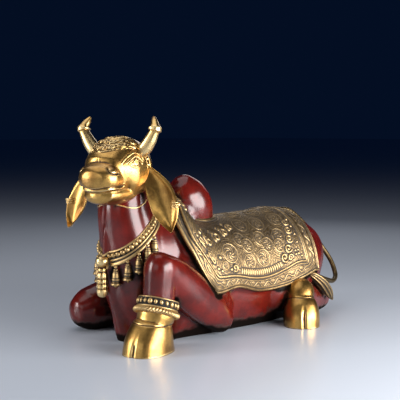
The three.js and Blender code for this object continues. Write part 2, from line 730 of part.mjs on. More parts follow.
// Anklet on the raised foreleg: a beaded band over a rope ring
function anklet() {
  const radius = RAISED_PASTERN[1][3] * PART + ANKLET_GROWTH;
  const ropeRadius = ANKLET_ROPE / 2;
  const toe = AXIS_Y.clone().negate().applyAxisAngle(AXIS_Z, FRONT_HOOF_TURN);
  const upright = AXIS_Z.clone().multiplyScalar(Math.cos(ANKLET_TILT));
  const lean = upright.addScaledVector(toe, -Math.sin(ANKLET_TILT));
  const rings = turned([
    [0, ANKLET_BAND / 2],
    [radius, ANKLET_BAND / 2],
    [radius, -ANKLET_BAND / 2],
    [radius + ropeRadius, ropeRadius / 2 - ANKLET_BAND],
    [radius + ropeRadius, -ropeRadius / 2 - ANKLET_BAND],
    [radius, -ropeRadius - ANKLET_BAND],
    [0, -ropeRadius - ANKLET_BAND],
  ], 12);
  const beads = Array.from({ length: ANKLET_BEAD_COUNT }, (_, i) => (
    new THREE.OctahedronGeometry(ANKLET_BEAD / 2, 0)
      .translate(radius, 0, 0)
      .rotateZ((2 * Math.PI * i) / ANKLET_BEAD_COUNT)
  ));
  return joined([rings, ...beads].map((geometry) => aged(standing(geometry, ANKLET_PLACE, lean))));
}

// Tail
const tail = joined([
  aged(roll(TAIL.map((place) => at(...place)), TAIL_THICKNESS, { sides: 5, steps: 16 })),
  aged(loft(TAIL_TUFT, { sides: 6, steps: 6 })),
]);

const bull = joined([trunk, neck, shoulders, limbs, feet, head, tail]);
const figureSolid = joined([bull, saddleCloth, necklace, anklet()]);
const ground = new THREE.BoxGeometry(4 * HEIGHT, 4 * HEIGHT, HEIGHT).translate(0, 0, -HEIGHT / 2);
const casting = figureSolid.subtract(aged(ground));

const finish = (name, color, roughness, metalness) => (
  new THREE.MeshStandardMaterial({ name, color, roughness, metalness })
);
const finishes = [
  finish('red lacquer', 0x6a1712, 0.32, 0.25),
  finish('polished brass', 0xc08a2e, 0.28, 1),
  finish('aged brass', 0x7a6238, 0.5, 0.85),
];

const figure = new THREE.Mesh(geometryOf(casting), finishes);
figure.name = 'nandi_bull';

const group = new THREE.Group();
group.add(figure);

export default group;
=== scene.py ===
# A reclining nandi bull cast in brass: red lacquer on the body, polished head and hooves, and an
# aged saddle cloth, necklace, anklet and tail. Free forms are written in parts, of which the
# figure is 99 high, as x to the bull's left, y to its tail and z up.

import math

import bmesh
import bpy
import numpy as np
from mathutils import Matrix, Vector
from mathutils.bvhtree import BVHTree


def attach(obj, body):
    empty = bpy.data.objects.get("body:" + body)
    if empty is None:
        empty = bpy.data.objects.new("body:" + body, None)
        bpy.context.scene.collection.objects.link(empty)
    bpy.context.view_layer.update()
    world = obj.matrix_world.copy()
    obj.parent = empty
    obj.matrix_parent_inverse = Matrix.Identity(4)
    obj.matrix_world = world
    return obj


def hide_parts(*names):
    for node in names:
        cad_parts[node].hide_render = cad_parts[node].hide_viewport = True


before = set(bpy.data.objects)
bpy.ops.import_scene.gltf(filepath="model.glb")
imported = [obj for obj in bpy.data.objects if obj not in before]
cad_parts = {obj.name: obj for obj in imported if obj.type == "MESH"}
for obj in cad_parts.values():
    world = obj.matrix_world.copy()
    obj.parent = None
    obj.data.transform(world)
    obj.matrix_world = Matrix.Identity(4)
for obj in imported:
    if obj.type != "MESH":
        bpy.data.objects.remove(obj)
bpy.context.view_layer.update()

NODE = "nandi_bull"
MM = 0.001
FIGURE_HEIGHT = 0.4
FIGURE_PARTS = 99
PART = FIGURE_HEIGHT / FIGURE_PARTS

BODY_GRAIN = 2.5 * MM
HEAD_GRAIN = 1.05 * MM
FOOT_GRAIN = 1.2 * MM

AXIS_X = np.array([1.0, 0.0, 0.0])
AXIS_Z = np.array([0.0, 0.0, 1.0])

# Camera, in metres and millimetres of film
CAMERA_PLACE = (1.2768, -1.1701, 0.3771)
CAMERA_TURN = math.radians(48)
CAMERA_DROP = math.radians(4.447)
CAMERA_LENS = 81.0
CAMERA_FILM = 36.0

# Body and legs: x, y, z of the middle of a section, its half width and its half depth
TRUNK = [
    [0, -46, 20, 2, 4],
    [0, -43, 23, 12, 18],
    [0, -37, 26, 16, 30],
    [0, -29, 25.6, 19.6, 36],
    [0, -21, 23.4, 21.8, 29.6],
    [0, -11, 22.8, 22.8, 29.4],
    [0, 2, 22.6, 23, 28.8],
    [0, 16, 22.6, 23.4, 29],
    [0, 36, 24, 23.6, 29.3],
    [0, 52, 23.5, 21.5, 28],
    [0, 64, 22.5, 16.4, 21.5],
    [0, 70.6, 20, 10.4, 14],
    [0, 73.4, 18.5, 2, 3],
]
COVER = [
    [0, -40, 22, 9, 30],
    [0, -36, 22, 19.4, 40],
    [0, -30.5, 21.6, 24, 43.2],
    [0, -26, 21.2, 26, 38.6],
    [0, -21.4, 20.8, 27, 33.4],
    [0, -14, 20.4, 27.4, 32],
    [0, 2, 20, 26.6, 32.4],
    [0, 16, 20, 26, 32.8],
    [0, 28, 20, 26.4, 33.2],
    [0, 38, 20, 27.4, 34.2],
    [0, 47, 20, 27.2, 33.8],
    [0, 54, 20, 25, 31.4],
    [0, 62, 19, 19, 24],
]
NECK = [
    [0, -33, -6, 10, 12],
    [0, -34, 4, 13, 14],
    [0, -36.5, 14, 16, 17],
    [0, -39.5, 26, 16.8, 18.4],
    [0, -43.4, 38, 15, 16.4],
    [0, -46.8, 48, 13.2, 14],
    [0, -49.6, 58, 11.4, 12],
    [0, -50, 66, 10, 10.6],
    [0, -49, 74, 6, 6],
]
DEWLAP = [
    [0, -55, 63, 0.8, 1],
    [0, -56.4, 54, 2, 4.6],
    [0, -56.6, 42, 2.4, 5.2],
    [0, -55.4, 30, 2.8, 5.6],
    [0, -51.2, 18, 4, 6.4],
    [0, -46.6, 6, 6, 8],
    [0, -43, -4, 6.5, 8],
]
HUMP = [
    [0, -19, 71, 0.8, 0.8],
    [0, -18, 69.8, 5, 5],
    [0, -15.2, 65, 8.6, 9],
    [0, -11.4, 58, 9.9, 10.4],
    [0, -9.2, 51.5, 8.6, 9.2],
    [0, -9, 45, 6, 6.6],
]
SHOULDER = [
    [10, -27, 48, 2, 3],
    [11.6, -26, 43, 5, 7],
    [14, -24, 35, 7, 11],
    [16.6, -20.6, 26, 8, 12.4],
    [18, -15.6, 16, 7.6, 11],
    [19, -11.6, 8, 6.6, 8],
    [19, -10, 1, 2, 3],
]
RAISED_FOREARM = [
    [19.4, -5, 4, 1, 2],
    [19.8, -8.4, 6, 5.4, 6],
    [20.8, -17, 12.5, 7, 8.6],
    [22.4, -30, 21.5, 7.4, 9.2],
    [24.2, -42, 30.4, 7, 8.2],
    [25.3, -49.8, 35, 6.8, 6.6],
    [25.6, -54.8, 36, 4.4, 4.4],
    [25.7, -57, 36.2, 0.6, 0.6],
]
RAISED_SHIN = [
    [25.6, -48.6, 41.8, 1, 1],
    [25.5, -49.2, 40, 5.4, 5.8],
    [25.4, -50.2, 35, 6.9, 7.2],
    [25.2, -50.8, 28, 6.6, 6.9],
    [25, -51, 21, 6.4, 6.6],
]
RAISED_PASTERN = [
    [24.7, -50.6, 23, 5, 5],
    [24.6, -50.8, 20.6, 7.7, 7.7],
    [24.4, -51.8, 16, 8, 8],
    [24.2, -52.8, 12.6, 7.5, 7.7],
    [24, -53.6, 9, 7.4, 7.8],
]
RAISED_HOOF = [
    [24.1, -52.6, 13, 3, 3],
    [24.1, -53, 11.8, 7.6, 8],
    [24, -54.4, 7.6, 8.9, 10.2],
    [23.9, -55.4, 3.2, 9.5, 12],
    [23.9, -55.8, -2, 9.8, 12.8],
]
FOLDED_FOREARM = [
    [-29.4, -58, 8.6, 0.8, 1],
    [-29.5, -56.4, 8.8, 5, 5.6],
    [-29.5, -50, 9.4, 8.8, 9.8],
    [-27.6, -38, 11.6, 8.8, 11.6],
    [-25, -24, 13.5, 8.6, 12.6],
    [-22, -11, 10, 7, 9.6],
    [-20.5, -4, 7, 1, 2],
]
FOLDED_SHANK = [
    [-30, -53, 5, 1, 1],
    [-30.6, -50.4, 5, 5, 5],
    [-32.4, -38, 4.8, 5.2, 5],
    [-33.5, -28, 4.8, 5.4, 5.2],
    [-33.8, -24, 5, 4.6, 4.8],
]
FOLDED_HOOF = [
    [-33.8, -26, 5, 2, 2],
    [-33.8, -24.6, 5, 5.2, 5.2],
    [-33.9, -21, 5.2, 4.8, 5],
    [-34, -17, 5.6, 6.2, 6],
    [-34, -13.4, 5.8, 6, 5.4],
    [-34, -12, 6, 1, 1],
]
HAUNCH = [
    [9, 62, 40, 1, 2],
    [11, 59, 37, 6, 7],
    [14, 53, 31, 9, 12],
    [16.4, 44, 25.4, 9.6, 14.6],
    [17.6, 34, 19, 8.8, 13.4],
    [18.2, 25, 14, 7.4, 11],
    [18.2, 18, 10, 1.6, 3],
]
HIND_SHANK = [
    [13.4, 70, 8.4, 1, 1],
    [13.8, 67.6, 8.6, 5, 7],
    [16, 60, 8.6, 6, 7.6],
    [20.5, 50.5, 9.4, 5.6, 6.8],
    [25, 42, 12, 5.6, 6.4],
    [27.6, 37, 13.6, 5, 5.6],
]
HIND_FETLOCK = [
    [24.4, 39.4, 14.6, 1, 1],
    [25.4, 38.2, 14.8, 5.4, 5.6],
    [28.2, 34.8, 14.8, 6.8, 6.9],
    [30.4, 32.4, 11.4, 6.2, 5.8],
    [31.4, 31.2, 8, 5, 5],
]
HIND_HOOF = [
    [29.4, 34, 13.6, 2, 2],
    [29.9, 33.5, 12.6, 6, 5.6],
    [31.2, 32.3, 8.6, 8, 7.8],
    [32, 31.6, 3.6, 8.6, 9.2],
    [32.2, 31.4, -2, 8.4, 9.4],
]
FRONT_HOOF_TURN = math.radians(18)
HIND_HOOF_TURN = math.radians(50)

# Head, in its own frame: x to the left ear, -y to the muzzle
HEAD_TURN = math.radians(24)
HEAD_PLACE = np.array([1, -53.9, 0])
SKULL = [
    [0, 14, 77, 1, 2],
    [0, 12.4, 76.8, 9, 9.6],
    [0, 8, 76.4, 12.6, 13.4],
    [0, 2, 76, 13.2, 14.7],
    [0, -4, 75.4, 12.8, 14],
    [0, -8.6, 74.4, 11, 11.6],
    [0, -12.6, 72, 8.8, 8.4],
    [0, -17, 71, 7.4, 7],
    [0, -19, 71, 2, 2],
]
JAW = [
    [0, 12.6, 70, 2, 3],
    [0, 11, 69, 7, 7.6],
    [0, 4, 67.4, 9.6, 7.4],
    [0, -6, 66.4, 9.4, 5.4],
    [0, -12.4, 66, 8.4, 4.5],
    [0, -17, 66.2, 6.8, 3.8],
    [0, -19.6, 66.6, 2, 1.2],
]
MUZZLE = [
    [0, -5, 73.4, 3, 2],
    [0, -7, 73.4, 7.4, 5.4],
    [0, -12, 73.4, 9.2, 6.9],
    [0, -16.6, 73, 9.2, 6.8],
    [0, -20, 72.8, 7.9, 5.7],
    [0, -22.2, 72.5, 5, 3.6],
    [0, -23, 72.4, 1.4, 1],
]
HORN = [
    [10.5, 0.4, 83, 2.6, 2.6],
    [12.8, 0.6, 85.4, 3, 3],
    [15.4, 0.6, 89, 2.7, 2.7],
    [17.3, 0.6, 92.6, 2.2, 2.2],
    [17.5, 0.7, 93.3, 2.9, 2.9],
    [17.6, 0.8, 94.3, 2.9, 2.9],
    [17.5, 1, 95, 2, 2],
    [16.7, 2.2, 97, 1.5, 1.5],
    [15.8, 3.4, 98.8, 0.6, 0.6],
    [15.6, 3.6, 99, 0.2, 0.2],
]
EAR = [
    [10, 3.6, 77, 1, 1],
    [12, 3.4, 75.6, 2.6, 1],
    [15, 2.8, 72.6, 4, 1.1],
    [19, 1.8, 67, 5.9, 1.2],
    [22, 1, 60.6, 6, 1.2],
    [24.2, 0.4, 54.6, 3.9, 1],
    [25.4, 0, 50.6, 1, 0.8],
    [25.7, 0, 49.8, 0.3, 0.8],
]
EAR_TURN = math.radians(16)
EAR_STUD_PLACE = [27.6, 3, 61.6]

TAIL = [
    [0, 46, 52.6],
    [0, 56, 52],
    [0, 65.4, 46.6],
    [1.5, 72.8, 39.4],
    [5, 77.4, 31.8],
    [9.6, 80, 24],
    [14, 78.4, 17.4],
    [18, 71.6, 15.4],
    [21, 63, 17.2],
    [23.4, 54, 20],
    [24.8, 46, 22.4],
]
TAIL_TUFT = [
    [24.4, 44.6, 23, 1, 1],
    [25, 47.4, 21.4, 2.8, 1.8],
    [25.4, 53, 17.6, 3.6, 2.4],
    [25, 59, 12.2, 2.8, 2.2],
    [24.6, 63.6, 7.2, 0.4, 0.4],
]
TAIL_THICKNESS = 10 * MM

# Saddle cloth, laid out flat in parts: first towards the tail, then down from the spine
CLOTH_FRONT = [[-33, 0], [-33.2, 8.5], [-32.6, 20.1], [-30.1, 33.5], [-24.8, 46.5], [-19, 48.3]]
CLOTH_HEM = [[-19, 48.3], [-6, 45.5], [8, 48.4], [22, 48.8], [38, 47.4], [51, 43.1]]
CLOTH_REAR = [[50.6, 0], [50.7, 20], [51, 43.1]]
# The raised cord between the border and the field
FRONT_CORD = [
    [-27, 0], [-27.8, 11.8], [-28.8, 18.5], [-28.6, 24.7], [-27.7, 30.3], [-25.4, 34.8], [-17.7, 40.5],
]
HEM_CORD = [
    [-17.7, 40.5], [-11, 39.8], [-4.3, 40.2], [3, 41.6], [10.7, 42.3], [19, 41.8],
    [26.5, 40.4], [34, 39.2], [41, 39.4],
]
REAR_CORD = [[41, 39.4], [40.6, 31], [40.2, 15], [40, 0]]
# The dark groove down the front border
GROOVE = [[-28.2, 4], [-29.2, 12], [-30.1, 18.5], [-29.9, 24.7], [-28.8, 31]]
# The row of flutes above the hem
FLUTE_LINE = [[-3.4, 37.9], [2.5, 38.9], [10.2, 39.6], [17.8, 39.2], [24.4, 37.8]]
FLUTE_COUNT = 20
# Rounds of the field: place towards the tail and down, and radius
ROUNDELS = [
    [-7.8, 29.2, 4.9], [1.2, 22.8, 3.7], [4.9, 26.4, 3.6], [14.6, 23.4, 3.9], [18.2, 27.2, 3.7],
    [27.2, 23.8, 4.1], [25.6, 28.6, 3.5], [13.4, 33.2, 4.3], [3.6, 34.3, 3.7], [18.4, 14.8, 4.4],
    [7.4, 14.6, 4.2], [31.6, 14, 4.4], [11.6, 4.8, 4.2], [24.6, 5, 4.4], [35.2, 5.2, 3.4],
    [-12.6, 34.9, 1.9],
]
# Curls: place towards the tail and down, radius, the way they turn and the angle they start at
CURLS = [
    [-19.2, 24.6, 2.7, 1, 2.2], [-12.2, 21, 2.7, 1, 2.2], [-5.6, 18.4, 2.4, 1, 2.2],
    [-0.4, 15.6, 2.2, 1, 2.2], [-23.6, 29.2, 1.8, 1, 1.2], [-19.8, 33.4, 1.9, -1, 4.2],
    [-7, 36.3, 1.9, -1, 2.8], [27, 35, 2.5, 1, 0.6], [30.6, 31.2, 2.3, 1, 0.6], [33, 27, 2.2, 1, 0.6],
    [34.6, 22.6, 2.1, 1, 0.6], [35.6, 18.2, 1.8, 1, 0.6], [30.8, 35.9, 1.7, -1, 0.2],
]
# Knobs: place towards the tail and down, and radius
KNOBS = [
    [-20.6, 20.4, 1.1], [-19.8, 21.6, 1.1], [-14.6, 17.6, 1.1], [-13.8, 18.6, 1.1], [-8.6, 15.6, 1],
    [-7.8, 16.4, 1], [-3.4, 13, 1], [-15, 31.2, 1.1], [-17.4, 36.8, 0.9], [-15.4, 37.6, 0.9],
    [-20.2, 37, 0.8], [-9.4, 36.9, 0.9], [34.6, 33.4, 0.8], [36.4, 33.4, 0.8], [34.6, 35.2, 0.8],
    [36.4, 35.2, 0.8], [38.2, 36.6, 0.8], [37.2, 29.6, 0.7], [37.6, 25.4, 0.7], [37.8, 21, 0.7],
    [38, 16.6, 0.7], [-23.4, 24.6, 0.8], [-25.6, 28.4, 0.8], [-22.4, 34.6, 0.8],
]
FRONT_BEADS = [
    [-26.6, 4.2, 0.8], [-26.5, 6.6, 1.1], [-26.2, 9.4, 1.3], [-26.1, 12.6, 1.4], [-26.4, 15.6, 0.9],
]


NO_GAP = 1e-4


def spline(points, share):
    """Places on the smooth line through some points, at shares from 0 to 1 of the way."""
    points = np.asarray(points, float)
    padded = np.vstack([2 * points[0] - points[1], points, 2 * points[-1] - points[-2]])
    place = np.clip(np.asarray(share, float), 0, 1) * (len(points) - 1)
    start = np.minimum(place.astype(int), len(points) - 2)
    along = (place - start)[:, None]
    before, here, there, after = (padded[start + k] for k in range(4))
    gap = lambda a, b: np.linalg.norm(b - a, axis=1)[:, None] ** 0.5
    middle = np.maximum(gap(here, there), NO_GAP)
    first, last = gap(before, here), gap(there, after)
    first = np.where(first < NO_GAP, middle, first)
    last = np.where(last < NO_GAP, middle, last)
    slope = (there - here) / middle
    leave = ((here - before) / first - (there - before) / (first + middle) + slope) * middle
    arrive = (slope - (after - here) / (middle + last) + (after - there) / last) * middle
    bend = 3 * (there - here) - 2 * leave - arrive
    twist = 2 * (here - there) + leave + arrive
    return here + along * (leave + along * (bend + along * twist))


def unit(vectors):
    return vectors / np.maximum(np.linalg.norm(vectors, axis=-1, keepdims=True), 1e-12)


OVAL_FULLNESS = 2.15
TANGENT_STEP = 1e-4
POLE_SHARE = 1e-3


def sections(rows, along, angle, across=AXIS_X, fullness=OVAL_FULLNESS, swell=None):
    """Points in parts on a form with oval sections along a smooth path."""
    rows = np.asarray(rows, float)
    path, girth = rows[:, :3], rows[:, 3:]
    ahead, behind = np.minimum(along + TANGENT_STEP, 1), np.maximum(along - TANGENT_STEP, 0)
    tangent = unit(spline(path, ahead) - spline(path, behind))
    side = unit(across - tangent * (tangent @ across)[:, None])
    rise = np.cross(side, tangent)
    size = spline(girth, along)
    if swell is not None:
        size = size * swell(along, angle)[:, None]
    oval = lambda value: np.sign(value) * np.abs(value) ** (2 / fullness)
    width = size[:, :1] * oval(np.cos(angle))[:, None]
    depth = size[:, 1:] * oval(np.sin(angle))[:, None]
    return spline(path, along) + side * width + rise * depth


def mirror(flip):
    """What a place is multiplied by to take it to the figure's other side, or to leave it."""
    return [-1, 1, 1] if flip else [1, 1, 1]


def loft(bm, rows, sides=40, steps=56, onto=None, flip=False, shape=None, **options):
    """Adds a closed form with oval sections to a mesh, in metres."""
    verts = bmesh.ops.create_uvsphere(bm, u_segments=sides, v_segments=steps, radius=1)["verts"]
    ball = np.array([vert.co[:] for vert in verts])
    along = np.arccos(np.clip(ball[:, 2], -1, 1)) / math.pi
    angle = np.arctan2(ball[:, 1], ball[:, 0])
    points = sections(rows, along, angle, **options)
    ends = (along < POLE_SHARE) | (along > 1 - POLE_SHARE)
    points[ends] = spline(np.asarray(rows, float)[:, :3], along[ends])
    if shape is not None:
        points = shape(points, along, angle)
    points = points * mirror(flip)
    points = points * PART if onto is None else onto(points)
    for vert, point in zip(verts, points.tolist()):
        vert.co = point


def form_tree(*forms):
    """A tree of some of the body's forms, for finding places on them."""
    bm = bmesh.new()
    for form in forms:
        loft(bm, *form)
    tree = BVHTree.FromBMesh(bm)
    bm.free()
    return tree


def on_head(points):
    """Points of the head's own frame, in parts, as metres of the figure."""
    points = np.atleast_2d(points)
    cosine, sine = math.cos(HEAD_TURN), math.sin(HEAD_TURN)
    turned = np.stack([
        points[:, 0] * cosine - points[:, 1] * sine,
        points[:, 0] * sine + points[:, 1] * cosine,
        points[:, 2],
    ], axis=1)
    return (turned + HEAD_PLACE) * PART


def off_head(points):
    """The other way round: metres of the figure as parts of the head's own frame."""
    points = np.atleast_2d(points) / PART - HEAD_PLACE
    cosine, sine = math.cos(HEAD_TURN), math.sin(HEAD_TURN)
    return np.stack([
        points[:, 0] * cosine + points[:, 1] * sine,
        -points[:, 0] * sine + points[:, 1] * cosine,
        points[:, 2],
    ], axis=1)


def make_camera():
    data = bpy.data.cameras.new("view")
    data.lens = CAMERA_LENS
    data.sensor_width = CAMERA_FILM
    camera = bpy.data.objects.new("view", data)
    bpy.context.scene.collection.objects.link(camera)
    camera.location = CAMERA_PLACE
    camera.rotation_euler = (math.pi / 2 - CAMERA_DROP, 0, CAMERA_TURN)
    bpy.context.scene.camera = camera


SMOOTH_IN = 0.5
SMOOTH_OUT = 0.53
STROKE_ROUND = 1.5
STROKE_END = 0.3
NOTCH_DEPTH = 0.3
HOLLOW_BLUR = 0.6


class Skin:
    """A mesh as arrays, for moves like a sculptor's."""

    def __init__(self, mesh):
        self.mesh = mesh
        self.points = np.empty(len(mesh.vertices) * 3)
        mesh.vertices.foreach_get("co", self.points)
        self.points = self.points.reshape(-1, 3)
        self.edges = np.empty(len(mesh.edges) * 2, dtype=np.int32)
        mesh.edges.foreach_get("vertices", self.edges)
        self.edges = self.edges.reshape(-1, 2)
        self.degree = np.bincount(self.edges.ravel(), minlength=len(self.points))[:, None]

    def around(self, values):
        """Each vertex's mean over its neighbours."""
        first, second = self.edges.T
        total = np.stack([
            np.bincount(first, weights=values[second, k], minlength=len(values))
            + np.bincount(second, weights=values[first, k], minlength=len(values))
            for k in range(values.shape[1])
        ], axis=1)
        return total / np.maximum(self.degree, 1)

    def store(self):
        self.mesh.vertices.foreach_set("co", self.points.ravel())
        self.mesh.update()

    def normals(self):
        self.store()
        flat = np.empty(len(self.points) * 3)
        self.mesh.vertices.foreach_get("normal", flat)
        return flat.reshape(-1, 3)

    def relax(self, rounds, ridge=0.3, crease=0.6):
        """Softens the surface, its creases more than its ridges."""
        for _ in range(rounds):
            normals = self.normals()
            pull = self.around(self.points) - self.points
            inward = np.einsum("ij,ij->i", pull, normals)[:, None]
            self.points += pull * np.where(inward > 0, crease, ridge)

    def smooth(self, rounds):
        """Softens with no loss of size."""
        for _ in range(rounds):
            self.points += SMOOTH_IN * (self.around(self.points) - self.points)
            self.points -= SMOOTH_OUT * (self.around(self.points) - self.points)

    def form(self):
        """The surface as a mesh to work on."""
        self.store()
        bm = bmesh.new()
        bm.from_mesh(self.mesh)
        return bm

    def tree(self):
        bm = self.form()
        tree = BVHTree.FromBMesh(bm)
        bm.free()
        return tree

    def stroke(self, line, width, height, pitch=None, taper=2 * MM):
        """Raises or, with a height below 0, cuts the surface along a line of points, in metres."""
        line = np.asarray(line, float)
        low, high = line.min(axis=0) - width, line.max(axis=0) + width
        chosen = np.flatnonzero(np.all((self.points > low) & (self.points < high), axis=1))
        if not len(chosen):
            return
        gap, along = near_line(self.points[chosen], line)
        length = np.linalg.norm(np.diff(line, axis=0), axis=1).sum()
        share = np.clip(1 - (gap / width) ** 2, 0, 1) ** STROKE_ROUND
        share *= np.clip(STROKE_END + np.minimum(along, length - along) / taper, 0, 1)
        if pitch:
            share *= 1 - NOTCH_DEPTH + NOTCH_DEPTH * np.cos(2 * math.pi * along / pitch)
        self.points[chosen] += self.normals()[chosen] * (height * share)[:, None]

    def bulge(self, place, radius, height):
        """Raises a soft round swelling or, with a height below 0, sinks a pit."""
        gap = np.linalg.norm(self.points - place, axis=1)
        share = np.clip(1 - (gap / radius) ** 2, 0, 1) ** 2
        self.points += self.normals() * (height * share)[:, None]

    def hollows(self, rounds):
        """How deep in metres each vertex lies below a softened copy of the surface."""
        blurred = self.points.copy()
        for _ in range(rounds):
            blurred += HOLLOW_BLUR * (self.around(blurred) - blurred)
        return np.einsum("ij,ij->i", blurred - self.points, self.normals())


def near_line(points, line):
    """How far points lie from a line of points, and how far along it their nearest places are."""
    line = np.asarray(line, float)
    best = np.full(len(points), np.inf)
    along = np.zeros(len(points))
    before = 0.0
    for start, end in zip(line[:-1], line[1:]):
        span = end - start
        length = max(np.linalg.norm(span), 1e-12)
        share = np.clip((points - start) @ span / length ** 2, 0, 1)
        gap = np.linalg.norm(points - start - share[:, None] * span, axis=1)
        nearer = gap < best
        best = np.where(nearer, gap, best)
        along = np.where(nearer, before + share * length, along)
        before += length
    return best, along


def distance_to(points, line):
    return near_line(points, line)[0]


def smooth_line(points, count=40):
    return spline(points, np.linspace(0, 1, count))


def laid_on(tree, places):
    """The places of a form nearest to some places, in metres."""
    return np.array([tree.find_nearest(Vector(place))[0] for place in places])


def cast(bm, grain):
    """The union of closed forms as one even skin, its grain in metres."""
    block_mesh = bpy.data.meshes.new("block")
    bm.to_mesh(block_mesh)
    bm.free()
    block = bpy.data.objects.new("block", block_mesh)
    bpy.context.scene.collection.objects.link(block)
    remesh = block.modifiers.new("skin", "REMESH")
    remesh.mode = "VOXEL"
    remesh.voxel_size = grain
    depsgraph = bpy.context.evaluated_depsgraph_get()
    mesh = bpy.data.meshes.new_from_object(block.evaluated_get(depsgraph))
    bpy.data.objects.remove(block)
    return Skin(mesh)


def cut_at_floor(bm):
    """Takes off what is below the floor and closes the mesh there."""
    geometry = bm.verts[:] + bm.edges[:] + bm.faces[:]
    down = (0, 0, -1)
    cut = bmesh.ops.bisect_plane(bm, geom=geometry, plane_co=(0, 0, 0), plane_no=down, clear_outer=True)
    edges = [item for item in cut["geom_cut"] if isinstance(item, bmesh.types.BMEdge)]
    bmesh.ops.triangle_fill(bm, edges=edges, use_beauty=True, normal=down)


def add_hollows(mesh, rounds, reach):
    """Stores how deep each vertex lies, from 0 on a ridge through 0.5 on the flat to 1 in a crease."""
    skin = Skin(mesh)
    depth = np.clip(skin.hollows(rounds) / reach, -1, 1) / 2 + 0.5
    hollow = mesh.attributes.new("hollow", "FLOAT", "POINT")
    hollow.data.foreach_set("value", depth.astype(np.float32))


SHELTER_RAYS = 20
SHELTER_REACH = 60 * MM
SHELTER_LIFT = 4 * MM
SHELTER_CELL = 4 * MM
SHELTER_SMOOTHING = 5
LEVEL_RAY = 0.01
GOLDEN_ANGLE = math.pi * (3 - math.sqrt(5))


def solid_tree():
    """The whole figure's own solid, as what shelters one place of it from the light, for the painted shade
    and soiling laid where it is sheltered.
    """
    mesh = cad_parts[NODE].data
    places = [vert.co for vert in mesh.vertices]
    return BVHTree.FromPolygons(places, [face.vertices for face in mesh.polygons])


def shelter_at(tree, place, normal):
    """The share of the open side of a place that the figure or its floor closes off nearby."""
    ahead = Vector(normal)
    side = ahead.orthogonal().normalized()
    other = ahead.cross(side)
    start = Vector(place) + ahead * SHELTER_LIFT
    total = 0.0
    for k in range(SHELTER_RAYS):
        spread = (k + 0.5) / SHELTER_RAYS
        turn = k * GOLDEN_ANGLE
        spoke = side * math.cos(turn) + other * math.sin(turn)
        ray = ahead * math.sqrt(1 - spread) + spoke * math.sqrt(spread)
        _, facing, _, gap = tree.ray_cast(start, ray, SHELTER_REACH)
        from_inside = gap is not None and facing.dot(ray) > 0
        if from_inside:
            gap = SHELTER_REACH
        if gap is None:
            gap = start.z / -ray.z if ray.z < -LEVEL_RAY else SHELTER_REACH
        total += 1 - min(gap / SHELTER_REACH, 1)
    return total / SHELTER_RAYS


def add_shelter(mesh, tree):
    """Stores how sheltered each vertex is, worked out once for each small cell of the surface, for the mask
    of painted shade and soiling.
    """
    skin = Skin(mesh)
    normals = skin.normals()
    cells = np.hstack([np.round(skin.points / SHELTER_CELL), np.round(normals)]).astype(int)
    _, cell = np.unique(cells, axis=0, return_inverse=True)
    cell = cell.ravel()
    total = lambda values: np.stack([np.bincount(cell, weights=column) for column in values.T], axis=1)
    places, facing = total(skin.points) / np.bincount(cell)[:, None], unit(total(normals))
    found = np.array([shelter_at(tree, place, normal) for place, normal in zip(places, facing)])
    values = found[cell][:, None]
    for _ in range(SHELTER_SMOOTHING):
        values = 0.5 * values + 0.5 * skin.around(values)
    shelter = mesh.attributes.new("shelter", "FLOAT", "POINT")
    shelter.data.foreach_set("value", values.ravel().astype(np.float32))


def piece(name, bm, material, floor=False, rounds=6, reach=0.4 * MM):
    """A finished piece of the figure, with its faces outward, its masks and its material."""
    if floor:
        cut_at_floor(bm)
    bm.normal_update()
    bmesh.ops.recalc_face_normals(bm, faces=bm.faces[:])
    for face in bm.faces:
        face.smooth = True
    mesh = bpy.data.meshes.new(name)
    bm.to_mesh(mesh)
    bm.free()
    add_hollows(mesh, rounds, reach)
    add_shelter(mesh, figure_tree)
    mesh.materials.append(material)
    made = bpy.data.objects.new(name, mesh)
    bpy.context.scene.collection.objects.link(made)
    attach(made, "root")
    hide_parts(NODE)
    return made


# Materials: colours in linear light

OXBLOOD = (0.13, 0.0075, 0.004, 1)
OXBLOOD_BROWN = (0.07, 0.005, 0.003, 1)
OXBLOOD_SPOT = (0.03, 0.006, 0.004, 1)
LACQUER_SHEEN = (0.6, 0.12, 0.08, 1)
# Pale grey dust on the lacquer, partly a painted sheen
LACQUER_DUST_AND_SHEEN = (0.09, 0.07, 0.058, 1)
LACQUER_DUST_AND_SHEEN_COVER = 0.5
# Near-black for sheltered lacquer: grime and painted shade
LACQUER_GRIME_AND_SHADE = (0.006, 0.0035, 0.0025, 1)
LACQUER_CREASE = (0.008, 0.005, 0.004, 1)
YELLOW_BRASS = (0.62, 0.36, 0.085, 1)
BROWN_BRASS = (0.33, 0.165, 0.03, 1)
BRASS_SPOT = (0.2, 0.1, 0.025, 1)
BRASS_RIDGE = (0.8, 0.58, 0.26, 1)
# Dark brown for sheltered brass: grime and painted shade
BRASS_GRIME_AND_SHADE = (0.13, 0.055, 0.012, 1)
BRASS_CREASE = (0.08, 0.036, 0.01, 1)
BRASS_DEEP = (0.02, 0.01, 0.005, 1)
OLD_BRASS = (0.25, 0.165, 0.075, 1)
OLD_BRASS_DARK = (0.1, 0.064, 0.032, 1)
OLD_BRASS_RIDGE = (0.5, 0.34, 0.155, 1)
OLD_BRASS_DUST = (0.075, 0.06, 0.048, 1)
OLD_BRASS_DEEP = (0.01, 0.007, 0.005, 1)
# Near-black for sheltered old brass: grime and painted shade
OLD_BRASS_GRIME_AND_SHADE = (0.02, 0.013, 0.008, 1)
# How bright the tail's brass is, as a share of the aged brass
DARK_BRASS_TONE = 0.25
FLOOR_COLOUR = (0.54, 0.58, 0.655, 1)
FLOOR_ROUGHNESS = 0.28
FLOOR_SIZE = 30
BACKDROP_COLOUR = (0.0012, 0.0045, 0.016, 1)

